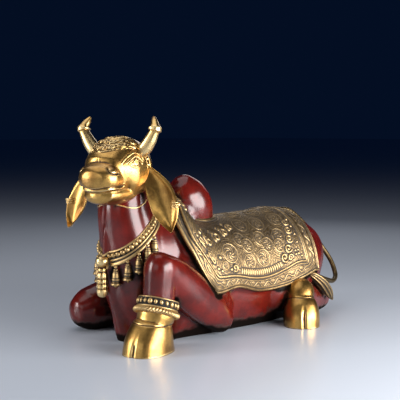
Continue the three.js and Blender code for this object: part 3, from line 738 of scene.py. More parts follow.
# Each noise's scale, detail and roughness
NOISES = {"coarse": (28, 6, 0.62), "middle": (95, 4, 0.6), "grain": (300, 4, 0.6), "fine": (1100, 2, 0.6)}
CREASE_SHAKE = 0.1
GRIME_AND_SHADE_CLOUDS = 0.35
MASK_RANGES = ["Crease From", "Crease To", "Ridge From", "Ridge To", "Grime_and_Shade From", "Grime_and_Shade To"]
MASKS = ["Crease", "Deep", "Ridge", "Grime_and_Shade", "Mottle", "Grain", "Height"]


def link(tree, source, target):
    tree.links.new(source, target)


def new_group(name, inputs, outputs):
    """An empty shader group with named sockets, and its input and output nodes."""
    group = bpy.data.node_groups.new(name, "ShaderNodeTree")
    for label in inputs:
        group.interface.new_socket(label, in_out="INPUT", socket_type="NodeSocketFloat")
    for label in outputs:
        group.interface.new_socket(label, in_out="OUTPUT", socket_type="NodeSocketFloat")
    return group, group.nodes.new("NodeGroupInput"), group.nodes.new("NodeGroupOutput")


def feed(tree, socket, value):
    """Links a socket to another one's value, or sets it to a constant."""
    if isinstance(value, (int, float, tuple)):
        socket.default_value = value
    else:
        link(tree, value, socket)


def noise_node(tree, place, scale, detail, roughness):
    node = tree.nodes.new("ShaderNodeTexNoise")
    node.inputs["Scale"].default_value = scale
    node.inputs["Detail"].default_value = detail
    node.inputs["Roughness"].default_value = roughness
    link(tree, place, node.inputs["Vector"])
    return node.outputs["Fac"]


def range_node(tree, source, low, high, to_low=0.0, to_high=1.0):
    node = tree.nodes.new("ShaderNodeMapRange")
    node.interpolation_type = "SMOOTHSTEP"
    feed(tree, node.inputs["From Min"], low)
    feed(tree, node.inputs["From Max"], high)
    node.inputs["To Min"].default_value = to_low
    node.inputs["To Max"].default_value = to_high
    link(tree, source, node.inputs["Value"])
    return node.outputs["Result"]


def math_node(tree, operation, first, second):
    node = tree.nodes.new("ShaderNodeMath")
    node.operation = operation
    for socket, value in zip(node.inputs, (first, second)):
        feed(tree, socket, value)
    return node.outputs[0]


def mix_colour(tree, share, first, second):
    node = tree.nodes.new("ShaderNodeMix")
    node.data_type = "RGBA"
    sockets = [node.inputs[0], node.inputs[6], node.inputs[7]]
    for socket, value in zip(sockets, (share, first, second)):
        feed(tree, socket, value)
    return node.outputs[2]


def attribute_node(tree, name):
    node = tree.nodes.new("ShaderNodeAttribute")
    node.attribute_name = name
    return node.outputs["Fac"]


def patina_and_shade_group():
    """Masks for every finish: from the surface's hollows, from mottling, and from sheltered places a mask of
    painted shade and soiling.
    """
    group, entry, leave = new_group("patina_and_shade", MASK_RANGES, MASKS)
    place = group.nodes.new("ShaderNodeTexCoord").outputs["Object"]
    hollow = attribute_node(group, "hollow")
    shelter = attribute_node(group, "shelter")
    noises = {name: noise_node(group, place, *values) for name, values in NOISES.items()}
    swing = math_node(group, "SUBTRACT", noises["middle"], 0.5)
    depth = math_node(group, "ADD", hollow, math_node(group, "MULTIPLY", swing, CREASE_SHAKE))
    # The sheltered share, shaken by clouds, is the mask of grime and painted shade
    cover = math_node(group, "ADD", shelter, math_node(group, "MULTIPLY", swing, GRIME_AND_SHADE_CLOUDS))
    for name, source in (("Crease", depth), ("Ridge", depth), ("Grime_and_Shade", cover)):
        low, high = entry.outputs[name + " From"], entry.outputs[name + " To"]
        link(group, range_node(group, source, low, high), leave.inputs[name])
    link(group, range_node(group, depth, 0.8, 1.0), leave.inputs["Deep"])
    link(group, range_node(group, noises["coarse"], 0.36, 0.66), leave.inputs["Mottle"])
    link(group, noises["grain"], leave.inputs["Grain"])
    link(group, math_node(group, "ADD", noises["grain"], noises["fine"]), leave.inputs["Height"])
    return group


def finish_material(name, patina_and_shade, crease, ridge, grime_and_shade):
    """A material with the masks, each from where it starts to where it is full."""
    material = bpy.data.materials.new(name)
    material.use_nodes = True
    tree = material.node_tree
    masks = tree.nodes.new("ShaderNodeGroup")
    masks.node_tree = patina_and_shade
    for label, value in zip(MASK_RANGES, (*crease, *ridge, *grime_and_shade)):
        masks.inputs[label].default_value = value
    return material, tree, tree.nodes["Principled BSDF"], masks.outputs


def add_bump(tree, shader, height, strength, distance):
    bump = tree.nodes.new("ShaderNodeBump")
    bump.inputs["Strength"].default_value = strength
    bump.inputs["Distance"].default_value = distance
    link(tree, height, bump.inputs["Height"])
    link(tree, bump.outputs["Normal"], shader.inputs["Normal"])


def add_roughness(tree, shader, masks, low, high, dulled):
    """Roughness from the grain, and more of it in the creases and under the painted shade and soiling."""
    rough = range_node(tree, masks["Grain"], 0.35, 0.68, low, high)
    dirt_and_shade = math_node(tree, "MAXIMUM", masks["Crease"], masks["Grime_and_Shade"])
    dull = math_node(tree, "MULTIPLY", dirt_and_shade, dulled)
    link(tree, math_node(tree, "ADD", rough, dull), shader.inputs["Roughness"])


def layered(tree, masks, base, layers):
    """A colour with others laid over it in turn, each through one of the masks, painted shade among them."""
    for mask, colour in layers:
        base = mix_colour(tree, masks[mask], base, colour)
    return base


def red_lacquer(patina_and_shade):
    """Oxblood lacquer, browned in places, dusty with a painted sheen where half sheltered, black in its
    creases, and painted black as shade and soiling where sheltered, with less coat there.
    """
    material, tree, shader, masks = finish_material(
        "red_lacquer", patina_and_shade, crease=(0.6, 0.95), ridge=(0.4, 0.05), grime_and_shade=(0.17, 0.4)
    )
    base = mix_colour(tree, masks["Mottle"], OXBLOOD, OXBLOOD_BROWN)
    spots = range_node(tree, masks["Grain"], 0.55, 0.72, 0.0, 0.4)
    base = mix_colour(tree, spots, base, OXBLOOD_SPOT)
    # Grey dust, partly a painted sheen, where half sheltered and the mottle is high
    dust_and_sheen = math_node(tree, "MULTIPLY", range_node(tree, masks["Grime_and_Shade"], 0.0, 0.4), masks["Mottle"])
    base = mix_colour(tree, math_node(tree, "MULTIPLY", dust_and_sheen, LACQUER_DUST_AND_SHEEN_COVER), base, LACQUER_DUST_AND_SHEEN)
    # Sheltered places go near-black as grime and painted shade, then the creases go black
    base = layered(tree, masks, base, [("Grime_and_Shade", LACQUER_GRIME_AND_SHADE), ("Crease", LACQUER_CREASE)])
    link(tree, base, shader.inputs["Base Color"])
    add_roughness(tree, shader, masks, 0.36, 0.5, 0.2)
    # Less coat where sheltered: painted shade that dims the coat's reflections there
    clean_and_unshaded = math_node(tree, "SUBTRACT", 1.0, math_node(tree, "MULTIPLY", masks["Grime_and_Shade"], 0.9))
    link(tree, clean_and_unshaded, shader.inputs["Coat Weight"])
    shader.inputs["Coat Roughness"].default_value = 0.22
    shader.inputs["Coat IOR"].default_value = 1.5
    shader.inputs["Specular IOR Level"].default_value = 0.0
    shader.inputs["Specular Tint"].default_value = LACQUER_SHEEN
    shader.inputs["Metallic"].default_value = 0.12
    add_bump(tree, shader, masks["Height"], 0.04, 0.3 * MM)
    return material


def polished_brass(patina_and_shade):
    """Yellow brass with a brown tone rubbed through it, darker in its creases, and with painted shade and
    soiling on its sheltered sides.
    """
    material, tree, shader, masks = finish_material(
        "polished_brass", patina_and_shade, crease=(0.54, 0.74), ridge=(0.42, 0.1), grime_and_shade=(0.3, 0.7)
    )
    base = mix_colour(tree, masks["Mottle"], YELLOW_BRASS, BROWN_BRASS)
    spots = range_node(tree, masks["Grain"], 0.52, 0.7, 0.0, 0.45)
    base = mix_colour(tree, spots, base, BRASS_SPOT)
    # The sheltered layer is grime and painted shade
    layers = [("Ridge", BRASS_RIDGE), ("Grime_and_Shade", BRASS_GRIME_AND_SHADE), ("Crease", BRASS_CREASE), ("Deep", BRASS_DEEP)]
    link(tree, layered(tree, masks, base, layers), shader.inputs["Base Color"])
    add_roughness(tree, shader, masks, 0.29, 0.4, 0.16)
    shader.inputs["Metallic"].default_value = 1.0
    shader.inputs["Coat Weight"].default_value = 0.6
    shader.inputs["Coat Roughness"].default_value = 0.3
    shader.inputs["Coat IOR"].default_value = 1.5
    add_bump(tree, shader, masks["Height"], 0.03, 0.2 * MM)
    return material


def shaded(colour, shade):
    return (*(value * shade for value in colour[:3]), 1)


def aged_brass(patina_and_shade, name="aged_brass", shade=1.0):
    """Old brass: dusty grey-brown between the carving, black in its grooves and rubbed to gold on top,
    near-black as painted shade and soiling where sheltered, and less metallic in its creases and sheltered
    places.
    """
    material, tree, shader, masks = finish_material(
        name, patina_and_shade, crease=(0.5, 0.7), ridge=(0.48, 0.1), grime_and_shade=(0.3, 0.6)
    )
    base = mix_colour(tree, masks["Mottle"], shaded(OLD_BRASS, shade), shaded(OLD_BRASS_DARK, shade))
    # The sheltered layer is grime and painted shade
    layers = [
        ("Ridge", shaded(OLD_BRASS_RIDGE, shade)), ("Crease", OLD_BRASS_DUST),
        ("Deep", OLD_BRASS_DEEP), ("Grime_and_Shade", OLD_BRASS_GRIME_AND_SHADE),
    ]
    link(tree, layered(tree, masks, base, layers), shader.inputs["Base Color"])
    add_roughness(tree, shader, masks, 0.4, 0.52, 0.2)
    # Less metallic in the creases and under the grime and painted shade
    dirt_and_shade = math_node(tree, "MAXIMUM", masks["Crease"], masks["Grime_and_Shade"])
    bare_and_unshaded = math_node(tree, "SUBTRACT", 1.0, math_node(tree, "MULTIPLY", dirt_and_shade, 0.6))
    link(tree, bare_and_unshaded, shader.inputs["Metallic"])
    add_bump(tree, shader, masks["Height"], 0.14, 0.35 * MM)
    return material


# Floor and lights: azimuth in degrees, distance, height, width and height of the face, and power
SOFTBOXES = {
    "key": (104, 1.3, 0.34, 1.4, 0.62, 41),
    "left": (-22, 1.9, 0.6, 0.55, 0.9, 21),
    "top": (-40, 0.5, 2.1, 2.4, 1.8, 20),
    "front": (18, 2.1, 0.7, 1.3, 0.9, 4),
    "back": (215, 1.8, 0.9, 1.2, 0.5, 3),
}
LIT_PLACE = Vector((0, 0, 0.2))


def stage_floor():
    bm = bmesh.new()
    bmesh.ops.create_grid(bm, x_segments=2, y_segments=2, size=FLOOR_SIZE)
    mesh = bpy.data.meshes.new("floor")
    bm.to_mesh(mesh)
    bm.free()
    material = bpy.data.materials.new("floor")
    material.use_nodes = True
    shader = material.node_tree.nodes["Principled BSDF"]
    shader.inputs["Base Color"].default_value = FLOOR_COLOUR
    shader.inputs["Roughness"].default_value = FLOOR_ROUGHNESS
    mesh.materials.append(material)
    floor = bpy.data.objects.new("floor", mesh)
    bpy.context.scene.collection.objects.link(floor)


def softbox(name, azimuth, reach, height, width, tall, power):
    """A soft rectangular light round the figure, its azimuth as the camera's."""
    data = bpy.data.lights.new(name, "AREA")
    data.shape = "RECTANGLE"
    data.size = width
    data.size_y = tall
    data.energy = power
    light = bpy.data.objects.new(name, data)
    bpy.context.scene.collection.objects.link(light)
    turn = math.radians(azimuth)
    light.location = (math.sin(turn) * reach, -math.cos(turn) * reach, height)
    light.rotation_euler = (LIT_PLACE - light.location).to_track_quat("-Z", "Y").to_euler()
    light.visible_camera = False


def studio():
    stage_floor()
    world = bpy.data.worlds.new("studio")
    world.use_nodes = True
    background = world.node_tree.nodes["Background"]
    background.inputs["Color"].default_value = BACKDROP_COLOUR
    background.inputs["Strength"].default_value = 1.0
    bpy.context.scene.world = world
    for name, values in SOFTBOXES.items():
        softbox(name, *values)
    bpy.context.scene.view_settings.view_transform = "Standard"


# The saddle cloth's surface as a table, and the body under it, in parts

FLAT_STEP = 0.5
FLAT_Y = np.arange(-38, 58.1, FLAT_STEP)
FLAT_DOWN = np.arange(0, 66.1, FLAT_STEP)
FLANK_COLUMN = -40
COVER_STEPS = (400, 150)
COVER_LOWEST = -0.9
PAST_SPINE = -9
ABOVE_FIGURE = 80
UNDERLAY = 1.2
UNDERLAY_FADE = 2.0
SPINE_HALF = 6
PRESS_ABOVE = 12 * PART
PRESS_REACH = 16 * MM
PRESS_DEPTH = 1.5 * MM
PRESS_EDGE = 0.7
HUMP_MARGIN = 1.2
HEM_SHADE = 0.55
HEM_SHADE_WIDTH = 10 * MM
HEM_SHADE_FULL = 1.6


def cover_table():
    """The saddle cloth's surface at even steps towards the tail and down from the spine."""
    along = np.linspace(0, 1, COVER_STEPS[0])
    angles = np.linspace(math.pi / 2, COVER_LOWEST, COVER_STEPS[1])
    rings = np.stack([sections(COVER, along, np.full(len(along), angle)) for angle in angles])
    table = np.zeros((len(FLAT_Y), len(FLAT_DOWN), 3))
    for i, y in enumerate(FLAT_Y):
        x = np.array([np.interp(y, ring[:, 1], ring[:, 0]) for ring in rings])
        z = np.array([np.interp(y, ring[:, 1], ring[:, 2]) for ring in rings])
        down = np.concatenate([[0], np.cumsum(np.hypot(np.diff(x), np.diff(z)))])
        table[i] = np.stack([
            np.interp(FLAT_DOWN, down, x),
            np.full(len(FLAT_DOWN), y),
            np.interp(FLAT_DOWN, down, z),
        ], axis=1)
    return table


def table_at(table, y, down):
    """Values of a table at places of the flat cloth, between its steps."""
    row = np.clip((np.asarray(y) - FLAT_Y[0]) / FLAT_STEP, 0, len(FLAT_Y) - 1 - NO_GAP)
    column = np.clip(np.asarray(down) / FLAT_STEP, 0, len(FLAT_DOWN) - 1 - NO_GAP)
    i, j = row.astype(int), column.astype(int)
    a, b = (row - i)[:, None], (column - j)[:, None]
    near = table[i, j] * (1 - b) + table[i, j + 1] * b
    far = table[i + 1, j] * (1 - b) + table[i + 1, j + 1] * b
    return near * (1 - a) + far * a


def cloth_normals(table):
    """The table's directions away from the body."""
    normals = unit(np.cross(np.gradient(table, axis=0), np.gradient(table, axis=1)))
    return normals * np.sign(normals[:, FLANK_COLUMN, :1])[:, None]


def on_cloth(cover, y, down, height, side=1):
    """Metres of the figure from places of the flat cloth in parts and a height in metres."""
    table, normals = cover
    place = table_at(table, y, down) * PART
    lift = unit(table_at(normals, y, down)) * np.asarray(height).reshape(-1, 1)
    return (place + lift) * [side, 1, 1]


def inside_outline(points, outline):
    """Whether points lie inside a closed outline, both flat."""
    x, y = points.T
    inside = np.zeros(len(points), bool)
    for (x0, y0), (x1, y1) in zip(outline, np.roll(outline, -1, axis=0)):
        if y1 != y0:
            crosses = (y0 > y) != (y1 > y)
            inside ^= crosses & (x < (x1 - x0) * (y - y0) / (y1 - y0) + x0)
    return inside


def cloth_outline():
    """The cloth's edge, seen flat: down its front, along its hem and up its rear."""
    front, hem, rear = (smooth_line(line) for line in (CLOTH_FRONT, CLOTH_HEM, CLOTH_REAR))
    return np.vstack([front, hem[1:], rear[::-1][1:]])


def fill_under_cloth(skin, cover):
    """Brings the flanks out under the cloth, so that it lies on them."""
    table, _ = cover
    outline = cloth_outline()
    edge = table_at(table, outline[:, 0], outline[:, 1])[:, 1:]
    closed = np.vstack([edge, [[edge[-1, 0], ABOVE_FIGURE], [edge[0, 0], ABOVE_FIGURE]]])
    lying = BVHTree.FromPolygons(*grid_polygons(table * PART))
    beside = skin.points[:, 1:] / PART
    gap = distance_to(beside, edge)
    share = np.clip(np.where(inside_outline(beside, closed), gap, -gap) / UNDERLAY_FADE + 0.5, 0, 1)
    for i in np.flatnonzero((share > 0) & (np.abs(skin.points[:, 0]) >= SPINE_HALF * PART)):
        x, y, z = skin.points[i]
        place, _, _, _ = lying.ray_cast(Vector((1, y, z)), Vector((-1, 0, 0)))
        rise = 0 if place is None else place.x - UNDERLAY * PART - abs(x)
        if rise > 0:
            skin.points[i, 0] = math.copysign(abs(x) + rise * share[i], x)


def keep_under_cloth(skin, cover, hump):
    """Presses in what would stand out through the cloth, apart from the hump."""
    table, normals = cover
    lying = BVHTree.FromPolygons(*grid_polygons(table * PART))
    columns = len(FLAT_DOWN) - 1
    outline = cloth_outline()
    closed = np.vstack([outline, [[outline[-1, 0], PAST_SPINE], [outline[0, 0], PAST_SPINE]]])
    found = []
    for i in np.flatnonzero(skin.points[:, 2] > PRESS_ABOVE):
        x, y, z = skin.points[i]
        place, _, face, _ = lying.find_nearest(Vector((abs(x), y, z)), PRESS_REACH)
        if place is not None:
            found.append((i, face // columns, face % columns, *place))
    found = np.array(found)
    index, row, column = found[:, :3].astype(int).T
    flat = np.stack([FLAT_Y[row], FLAT_DOWN[column]], axis=1)
    inside = inside_outline(flat, closed) & (distance_to(flat, outline) > PRESS_EDGE)
    index, row, column, places = index[inside], row[inside], column[inside], found[inside, 3:]
    side = np.where(skin.points[index, 0] < 0, -1, 1)[:, None] * [1, 0, 0] + [0, 1, 1]
    outward = normals[row, column]
    above = np.einsum("ij,ij->i", skin.points[index] * side - places, outward)
    from_hump = np.array([hump.find_nearest(Vector(point))[3] for point in skin.points[index]])
    press = np.maximum(above + PRESS_DEPTH, 0) * np.clip(from_hump / (HUMP_MARGIN * PART), 0, 1)
    skin.points[index] -= outward * side * press[:, None]


def grid_polygons(grid):
    """A table's places and the faces between them, for a tree."""
    rows, columns = grid.shape[:2]
    corners = [i * columns + j for i in range(rows - 1) for j in range(columns - 1)]
    faces = [(corner, corner + 1, corner + columns + 1, corner + columns) for corner in corners]
    return grid.reshape(-1, 3).tolist(), faces


# Forms with the sides round them and the steps along them
TRUNK_FORM = (TRUNK, 72, 80)
NECK_FORM = (NECK, 56, 60)
HUMP_FORM = (HUMP, 56, 60)
DEWLAP_FORM = (DEWLAP, 24, 50)
# Creases of the throat: their line, half width and height in millimetres
NECK_CREASES = [
    ([[1, -61.4, 60.7], [-0.5, -61.1, 52.3], [-1.4, -59.8, 41.1]], 5, -1.6),
    ([[-3.4, -60.6, 59.4], [-4.4, -60.2, 51], [-4, -58.6, 42]], 5, -1.2),
]


def bull_body(material, cover, hump):
    bm = bmesh.new()
    for form in (TRUNK_FORM, NECK_FORM, HUMP_FORM, DEWLAP_FORM):
        loft(bm, *form)
    for rows in (RAISED_FOREARM, RAISED_SHIN, FOLDED_FOREARM, FOLDED_SHANK):
        loft(bm, rows)
    for rows in (SHOULDER, HAUNCH, HIND_SHANK):
        loft(bm, rows)
        loft(bm, rows, flip=True)
    skin = cast(bm, BODY_GRAIN)
    fill_under_cloth(skin, cover)
    skin.relax(12, ridge=0.16, crease=0.6)
    skin.smooth(12)
    keep_under_cloth(skin, cover, hump)
    tree = skin.tree()
    for line, width, height in NECK_CREASES:
        laid = laid_on(tree, smooth_line(line) * PART)
        skin.stroke(laid, width * MM, height * MM, taper=20 * MM)
    made = piece("bull_body", skin.form(), material, floor=True, rounds=14, reach=1.6 * MM)
    paint_shadow_round_cloth(made.data, cover)
    return tree


def paint_shadow_round_cloth(mesh, cover):
    """Counts the body's places close to the cloth's edge as sheltered, for a painted shadow under the
    cloth's hem.
    """
    skin = Skin(mesh)
    outline = cloth_outline()[::3]
    gap = np.full(len(skin.points), np.inf)
    for side in (1, -1):
        edge = on_cloth(cover, outline[:, 0], outline[:, 1], np.zeros(len(outline)), side)
        gap = np.minimum(gap, distance_to(skin.points, edge))
    shelter = mesh.attributes["shelter"]
    values = np.empty(len(skin.points))
    shelter.data.foreach_get("value", values)
    # A painted shadow: a dark band on the body along the cloth's edge
    values = np.maximum(values, HEM_SHADE * np.clip(HEM_SHADE_FULL - gap / HEM_SHADE_WIDTH, 0, 1))
    shelter.data.foreach_set("value", values.astype(np.float32))


# Feet

CLEFT_WIDTH = 2.4 * MM
CLEFT_DEPTH = 3.6 * MM
CLEFT_SLOPE_WIDTH = 2.4 * CLEFT_WIDTH
CLEFT_SLOPE_DEPTH = 0.35 * CLEFT_DEPTH
HOOF_FULLNESS = 2.3
CORONET_LINE = 1.7 * MM
CORONET_DEPTH = 0.9 * MM


def hoof_axes(turn):
    """The directions across a hoof or an ear turned about the upright, and out of its front."""
    across = np.array([math.cos(turn), math.sin(turn), 0])
    return across, np.cross(across, AXIS_Z)


def coronet_line(row, across, toe):
    """The round line where a hoof comes out under its pastern."""
    *middle, width, depth = row
    angle = np.linspace(0, 2 * math.pi, 60)
    return middle + np.outer(np.cos(angle) * width, across) + np.outer(np.sin(angle) * depth, toe)


def foot(name, pastern, hoof, turn, material, flip=False, cleft=True):
    """A hoof under its pastern, with the cleft between its two toes and a line round its coronet."""
    across, toe = hoof_axes(turn)
    bm = bmesh.new()
    if pastern:
        loft(bm, pastern, 48, 48, across=across, flip=flip)
    loft(bm, hoof, 48, 48, across=across, fullness=HOOF_FULLNESS, flip=flip)
    skin = cast(bm, FOOT_GRAIN)
    skin.relax(7, ridge=0.15, crease=0.4)
    skin.smooth(6)
    tree = skin.tree()
    if cleft:
        middle = [np.array(row[:3]) + toe * row[4] for row in hoof[1:]]
        line = smooth_line(middle) * mirror(flip) * PART
        skin.stroke(line, CLEFT_SLOPE_WIDTH, -CLEFT_SLOPE_DEPTH)
        skin.stroke(line, CLEFT_WIDTH, -CLEFT_DEPTH)
        ring = coronet_line(hoof[1], across, toe) * mirror(flip) * PART
        skin.stroke(laid_on(tree, ring), CORONET_LINE, -CORONET_DEPTH)
    piece(name, skin.form(), material, floor=True)


def feet(material):
    foot("raised_foot", RAISED_PASTERN, RAISED_HOOF, FRONT_HOOF_TURN, material)
    foot("folded_foot", [], FOLDED_HOOF, 0, material, cleft=False)
    foot("hind_foot_left", HIND_FETLOCK, HIND_HOOF, HIND_HOOF_TURN, material)
    foot("hind_foot_right", HIND_FETLOCK, HIND_HOOF, HIND_HOOF_TURN, material, flip=True)


# Head

EYE_PLACE = [11.8, -5.8, 79.6]
BROW = [
    [8.9, -12.6, 79.4], [9.2, -10.6, 81], [9.9, -8, 82.6], [10.8, -4.9, 83.8],
    [11.7, -2.2, 83], [12.7, 0.2, 80.6],
]
BROW_INNER = [
    [10, -10.6, 79.2], [10.7, -7.9, 80.9], [11.4, -4.9, 82.2], [12.2, -2.6, 81.1],
    [12.8, -0.7, 79.7],
]
LID_UPPER = [
    [10.7, -9.1, 79.3], [11.1, -7.3, 80.4], [11.7, -5.1, 81.3], [12.4, -3.4, 80.2],
    [12.8, -1.7, 79],
]
LID_LOWER = [
    [10.7, -9.1, 79.3], [11.3, -7.9, 78.2], [12.1, -6.1, 77.6], [12.6, -4.1, 78.2],
    [12.8, -1.7, 79],
]
IRIS_RADIUS = 1.05
MUZZLE_CREASE = [
    [0, -16.6, 80.5], [2.1, -16.4, 80.5], [4.8, -15.8, 80.4], [7.2, -14.6, 79.7],
    [8.8, -13.5, 77.1], [9.2, -11.9, 73.7], [8.9, -11.5, 70.7],
]
NOSTRIL = [
    [5.9, -19.3, 78.2], [6.3, -19.8, 76.9], [7.3, -19.7, 75.7], [8.3, -18.4, 75.1],
    [8.9, -16.4, 75.2], [9, -15, 75.5],
]
NOSTRIL_WING = [8, -17.9, 77]
MOUTH = [
    [0, -21.2, 68.6], [2.2, -21, 68.7], [4.9, -20.6, 69], [6.9, -19.1, 69.4], [8, -16.4, 69.6],
    [8.3, -13.1, 69.7], [8.8, -10.7, 69.9],
]
LIP = [[0, -20.8, 67.7], [2.2, -20.6, 67.8], [6.6, -18.6, 68.5], [8, -15, 68.7], [8.4, -11.5, 68.9]]
BRIDLE_FRONT = [[10.4, -1.2, 87.2], [11.2, 0.6, 85], [12, 1.8, 82.5], [12.8, 2.4, 79.4], [13.2, 2.4, 76.6]]
BRIDLE_BACK = [[9.4, 2.4, 88.2], [10.8, 3.6, 85.8], [12, 4.6, 82.8], [12.8, 5.3, 79.6], [13, 5.4, 76.4]]
BRIDLE_FLOWER = [10.6, 2.2, 86]
# The line's half width and height in millimetres, and the pitch of its notches
FACE_LINES = [
    (BROW, 3.6, -0.9, None),
    (BROW_INNER, 2.8, -0.6, None),
    (LID_UPPER, 2.6, -0.9, None),
    (LID_LOWER, 2.6, -0.8, None),
    (BROW, 2.2, 2.5, 2.1),
    (BROW_INNER, 1.6, 1.7, None),
    (LID_UPPER, 1.5, 1.9, None),
    (LID_LOWER, 1.5, 1.7, None),
    (MUZZLE_CREASE, 6, -0.7, None),
    (NOSTRIL, 3, -0.8, None),
    (NOSTRIL, 1.6, -2.6, None),
    (LIP, 2.4, 1.1, None),
    (MOUTH, 3.2, -1.2, None),
    (MOUTH, 1.7, -3.8, None),
    (BRIDLE_FRONT, 2.8, -0.6, None),
    (BRIDLE_BACK, 2.8, -0.6, None),
    (BRIDLE_FRONT, 1.8, 1.9, 3),
    (BRIDLE_BACK, 1.8, 1.7, None),
]
BRIDLE_KNOBS = [[12.3, 2.6, 83.6], [12.8, 3.4, 81], [13, 3.8, 78.4]]
# Swellings and strokes: radius or half width, and height
EYE_BULGE = (8.5 * MM, 1.6 * MM)
IRIS_STROKE = (1.4 * MM, 1.3 * MM)
PUPIL_BULGE = (2.4 * MM, -1.6 * MM)
WING_BULGE = (10 * MM, 1.8 * MM)
FLOWER_BULGE = (6 * MM, 3 * MM)
BRIDLE_KNOB_BULGE = (3.4 * MM, 2.2 * MM)
# The forehead band, in parts
BAND_TURN = math.radians(31)
BAND_RADIUS = 14.5
BAND_HINGE = (-1.5, 76)
BAND_SWEEP = 0.105
BAND_BACK = 2
BAND_HALF = 10.2
BAND_PITCH = 3.5
BAND_EDGE = 0.25
BAND_GROUND = 0.5
BAND_LINES = (0.1, 5.1, 10.1)
# Each row of motifs: how far back its middle lies, and its shift across as a share of the pitch
BAND_ROWS = ((2.6, 0), (7.6, 0.5), (12.4, 0))
BAND_SPIRAL = 1.75
FAN_RADIUS = 2.1
FAN_WIDTH = 1.7
FAN_HALF_ANGLE = 0.85
FAN_RIBS = 5
FAN_BEAD = (1.6, 0.7)


def on_face(tree, line, flip=False, count=60):
    """A smooth line through places of the head, laid on its surface."""
    return laid_on(tree, on_head(smooth_line(line, count) * mirror(flip)))


def bull_head(material):
    rough = bmesh.new()
    loft(rough, SKULL, 60, 60, onto=on_head)
    loft(rough, JAW, 48, 48, onto=on_head)
    loft(rough, MUZZLE, 52, 40, onto=on_head)
    skin = cast(rough, HEAD_GRAIN)
    skin.relax(16, ridge=0.14, crease=0.5)
    skin.smooth(14)
    tree = skin.tree()
    places = np.array([EYE_PLACE, NOSTRIL_WING, BRIDLE_FLOWER, *BRIDLE_KNOBS])
    for flip in (False, True):
        eye, wing, flower, *knobs = laid_on(tree, on_head(places * mirror(flip)))
        skin.bulge(eye, *EYE_BULGE)
        skin.bulge(wing, *WING_BULGE)
        for line, width, height, pitch in FACE_LINES:
            skin.stroke(on_face(tree, line, flip), width * MM, height * MM, pitch and pitch * MM)
        iris(skin, *tree.find_nearest(Vector(eye))[:2])
        skin.bulge(flower, *FLOWER_BULGE)
        for place in knobs:
            skin.bulge(place, *BRIDLE_KNOB_BULGE)
    forehead_band(skin)
    piece("bull_head", skin.form(), material, rounds=8, reach=0.5 * MM)


def iris(skin, place, normal):
    """A ring round a pit for the pupil."""
    side = normal.cross(Vector(AXIS_Z)).normalized()
    up = side.cross(normal)
    reach = IRIS_RADIUS * PART
    turns = np.linspace(0, 2 * math.pi, 40)
    ring = [place + (side * math.cos(turn) + up * math.sin(turn)) * reach for turn in turns]
    skin.stroke(ring, *IRIS_STROKE)
    skin.bulge(np.array(place), *PUPIL_BULGE)


def band_relief(x, back):
    """The forehead band's carving in millimetres, at places across the brow and back from its edge."""
    flat = np.stack([x, back], axis=1)
    relief = Relief(flat, 0.2)
    for line in BAND_LINES:
        relief.raise_to(1.3 * bump_of(back - line, 0.42))
    for row, (middle, shift) in enumerate(BAND_ROWS):
        for k in range(-4, 5):
            centre = np.array([(k + shift) * BAND_PITCH, middle])
            if (k + row) % 2:
                line = spiral(*centre, BAND_SPIRAL, 1 if k > 0 else -1, 0.4)
                relief.raise_to(2.3 * bump_of(distance_to(flat, line), 0.5))
            else:
                fan(relief, *(flat - centre).T)
    return relief.height


def fan(relief, across, down):
    """A ribbed fan about a bead, at distances from its middle."""
    turn = np.arctan2(across, FAN_RADIUS - down)
    gap = np.hypot(across, FAN_RADIUS - down)
    ribs = 0.4 + 0.6 * np.abs(np.cos(turn * FAN_RIBS))
    relief.raise_to(2.2 * ribs * bump_of(gap - FAN_RADIUS, FAN_WIDTH), np.abs(turn) < FAN_HALF_ANGLE)
    drop, radius = FAN_BEAD
    relief.raise_to(2.0 * bump_of(np.hypot(across, down - drop), radius))


def forehead_band(skin):
    """A carved band over the crown between the horns, raised off the skull."""
    x, y, z = off_head(skin.points).T
    hinge_y, hinge_z = BAND_HINGE
    back = BAND_RADIUS * (np.arctan2(z - hinge_z, hinge_y - y) - BAND_TURN) - BAND_SWEEP * x ** 2
    height = (BAND_GROUND + band_relief(x, back)) * MM
    for inside in (back, BAND_BACK - y, BAND_HALF - np.abs(x)):
        height *= np.clip(inside / BAND_EDGE, 0, 1)
    skin.points += skin.normals() * height[:, None]


def horns(material):
    for name, flip in (("horn_left", False), ("horn_right", True)):
        bm = bmesh.new()
        loft(bm, HORN, 40, 120, onto=on_head, flip=flip)
        piece(name, bm, material)


# Ears, in parts; a rim's or bowl's place is a share of the ear's half width
EAR_BOWL = 2.7
EAR_BOWL_EDGE = 0.9
EAR_BOWL_AT_ROOT = 0.55
EAR_BACK = 1.4
EAR_RIM = 0.35
EAR_RIM_PLACE = 0.95
EAR_RIM_WIDTH = 0.07
EAR_ROOT = 0.22
EAR_TIP = 0.08
EAR_EDGE = 0.5
EARRING_PLACE = np.array([26.2, 2.2, 61.6])
EARRING_REACH = (1.7, 1.8)
EARRING_DROPS = (-0.95, 0, 0.95)
EARRING_SIDES = 28
EARRING_WIRE = 0.235
EAR_STUD = 7 * MM


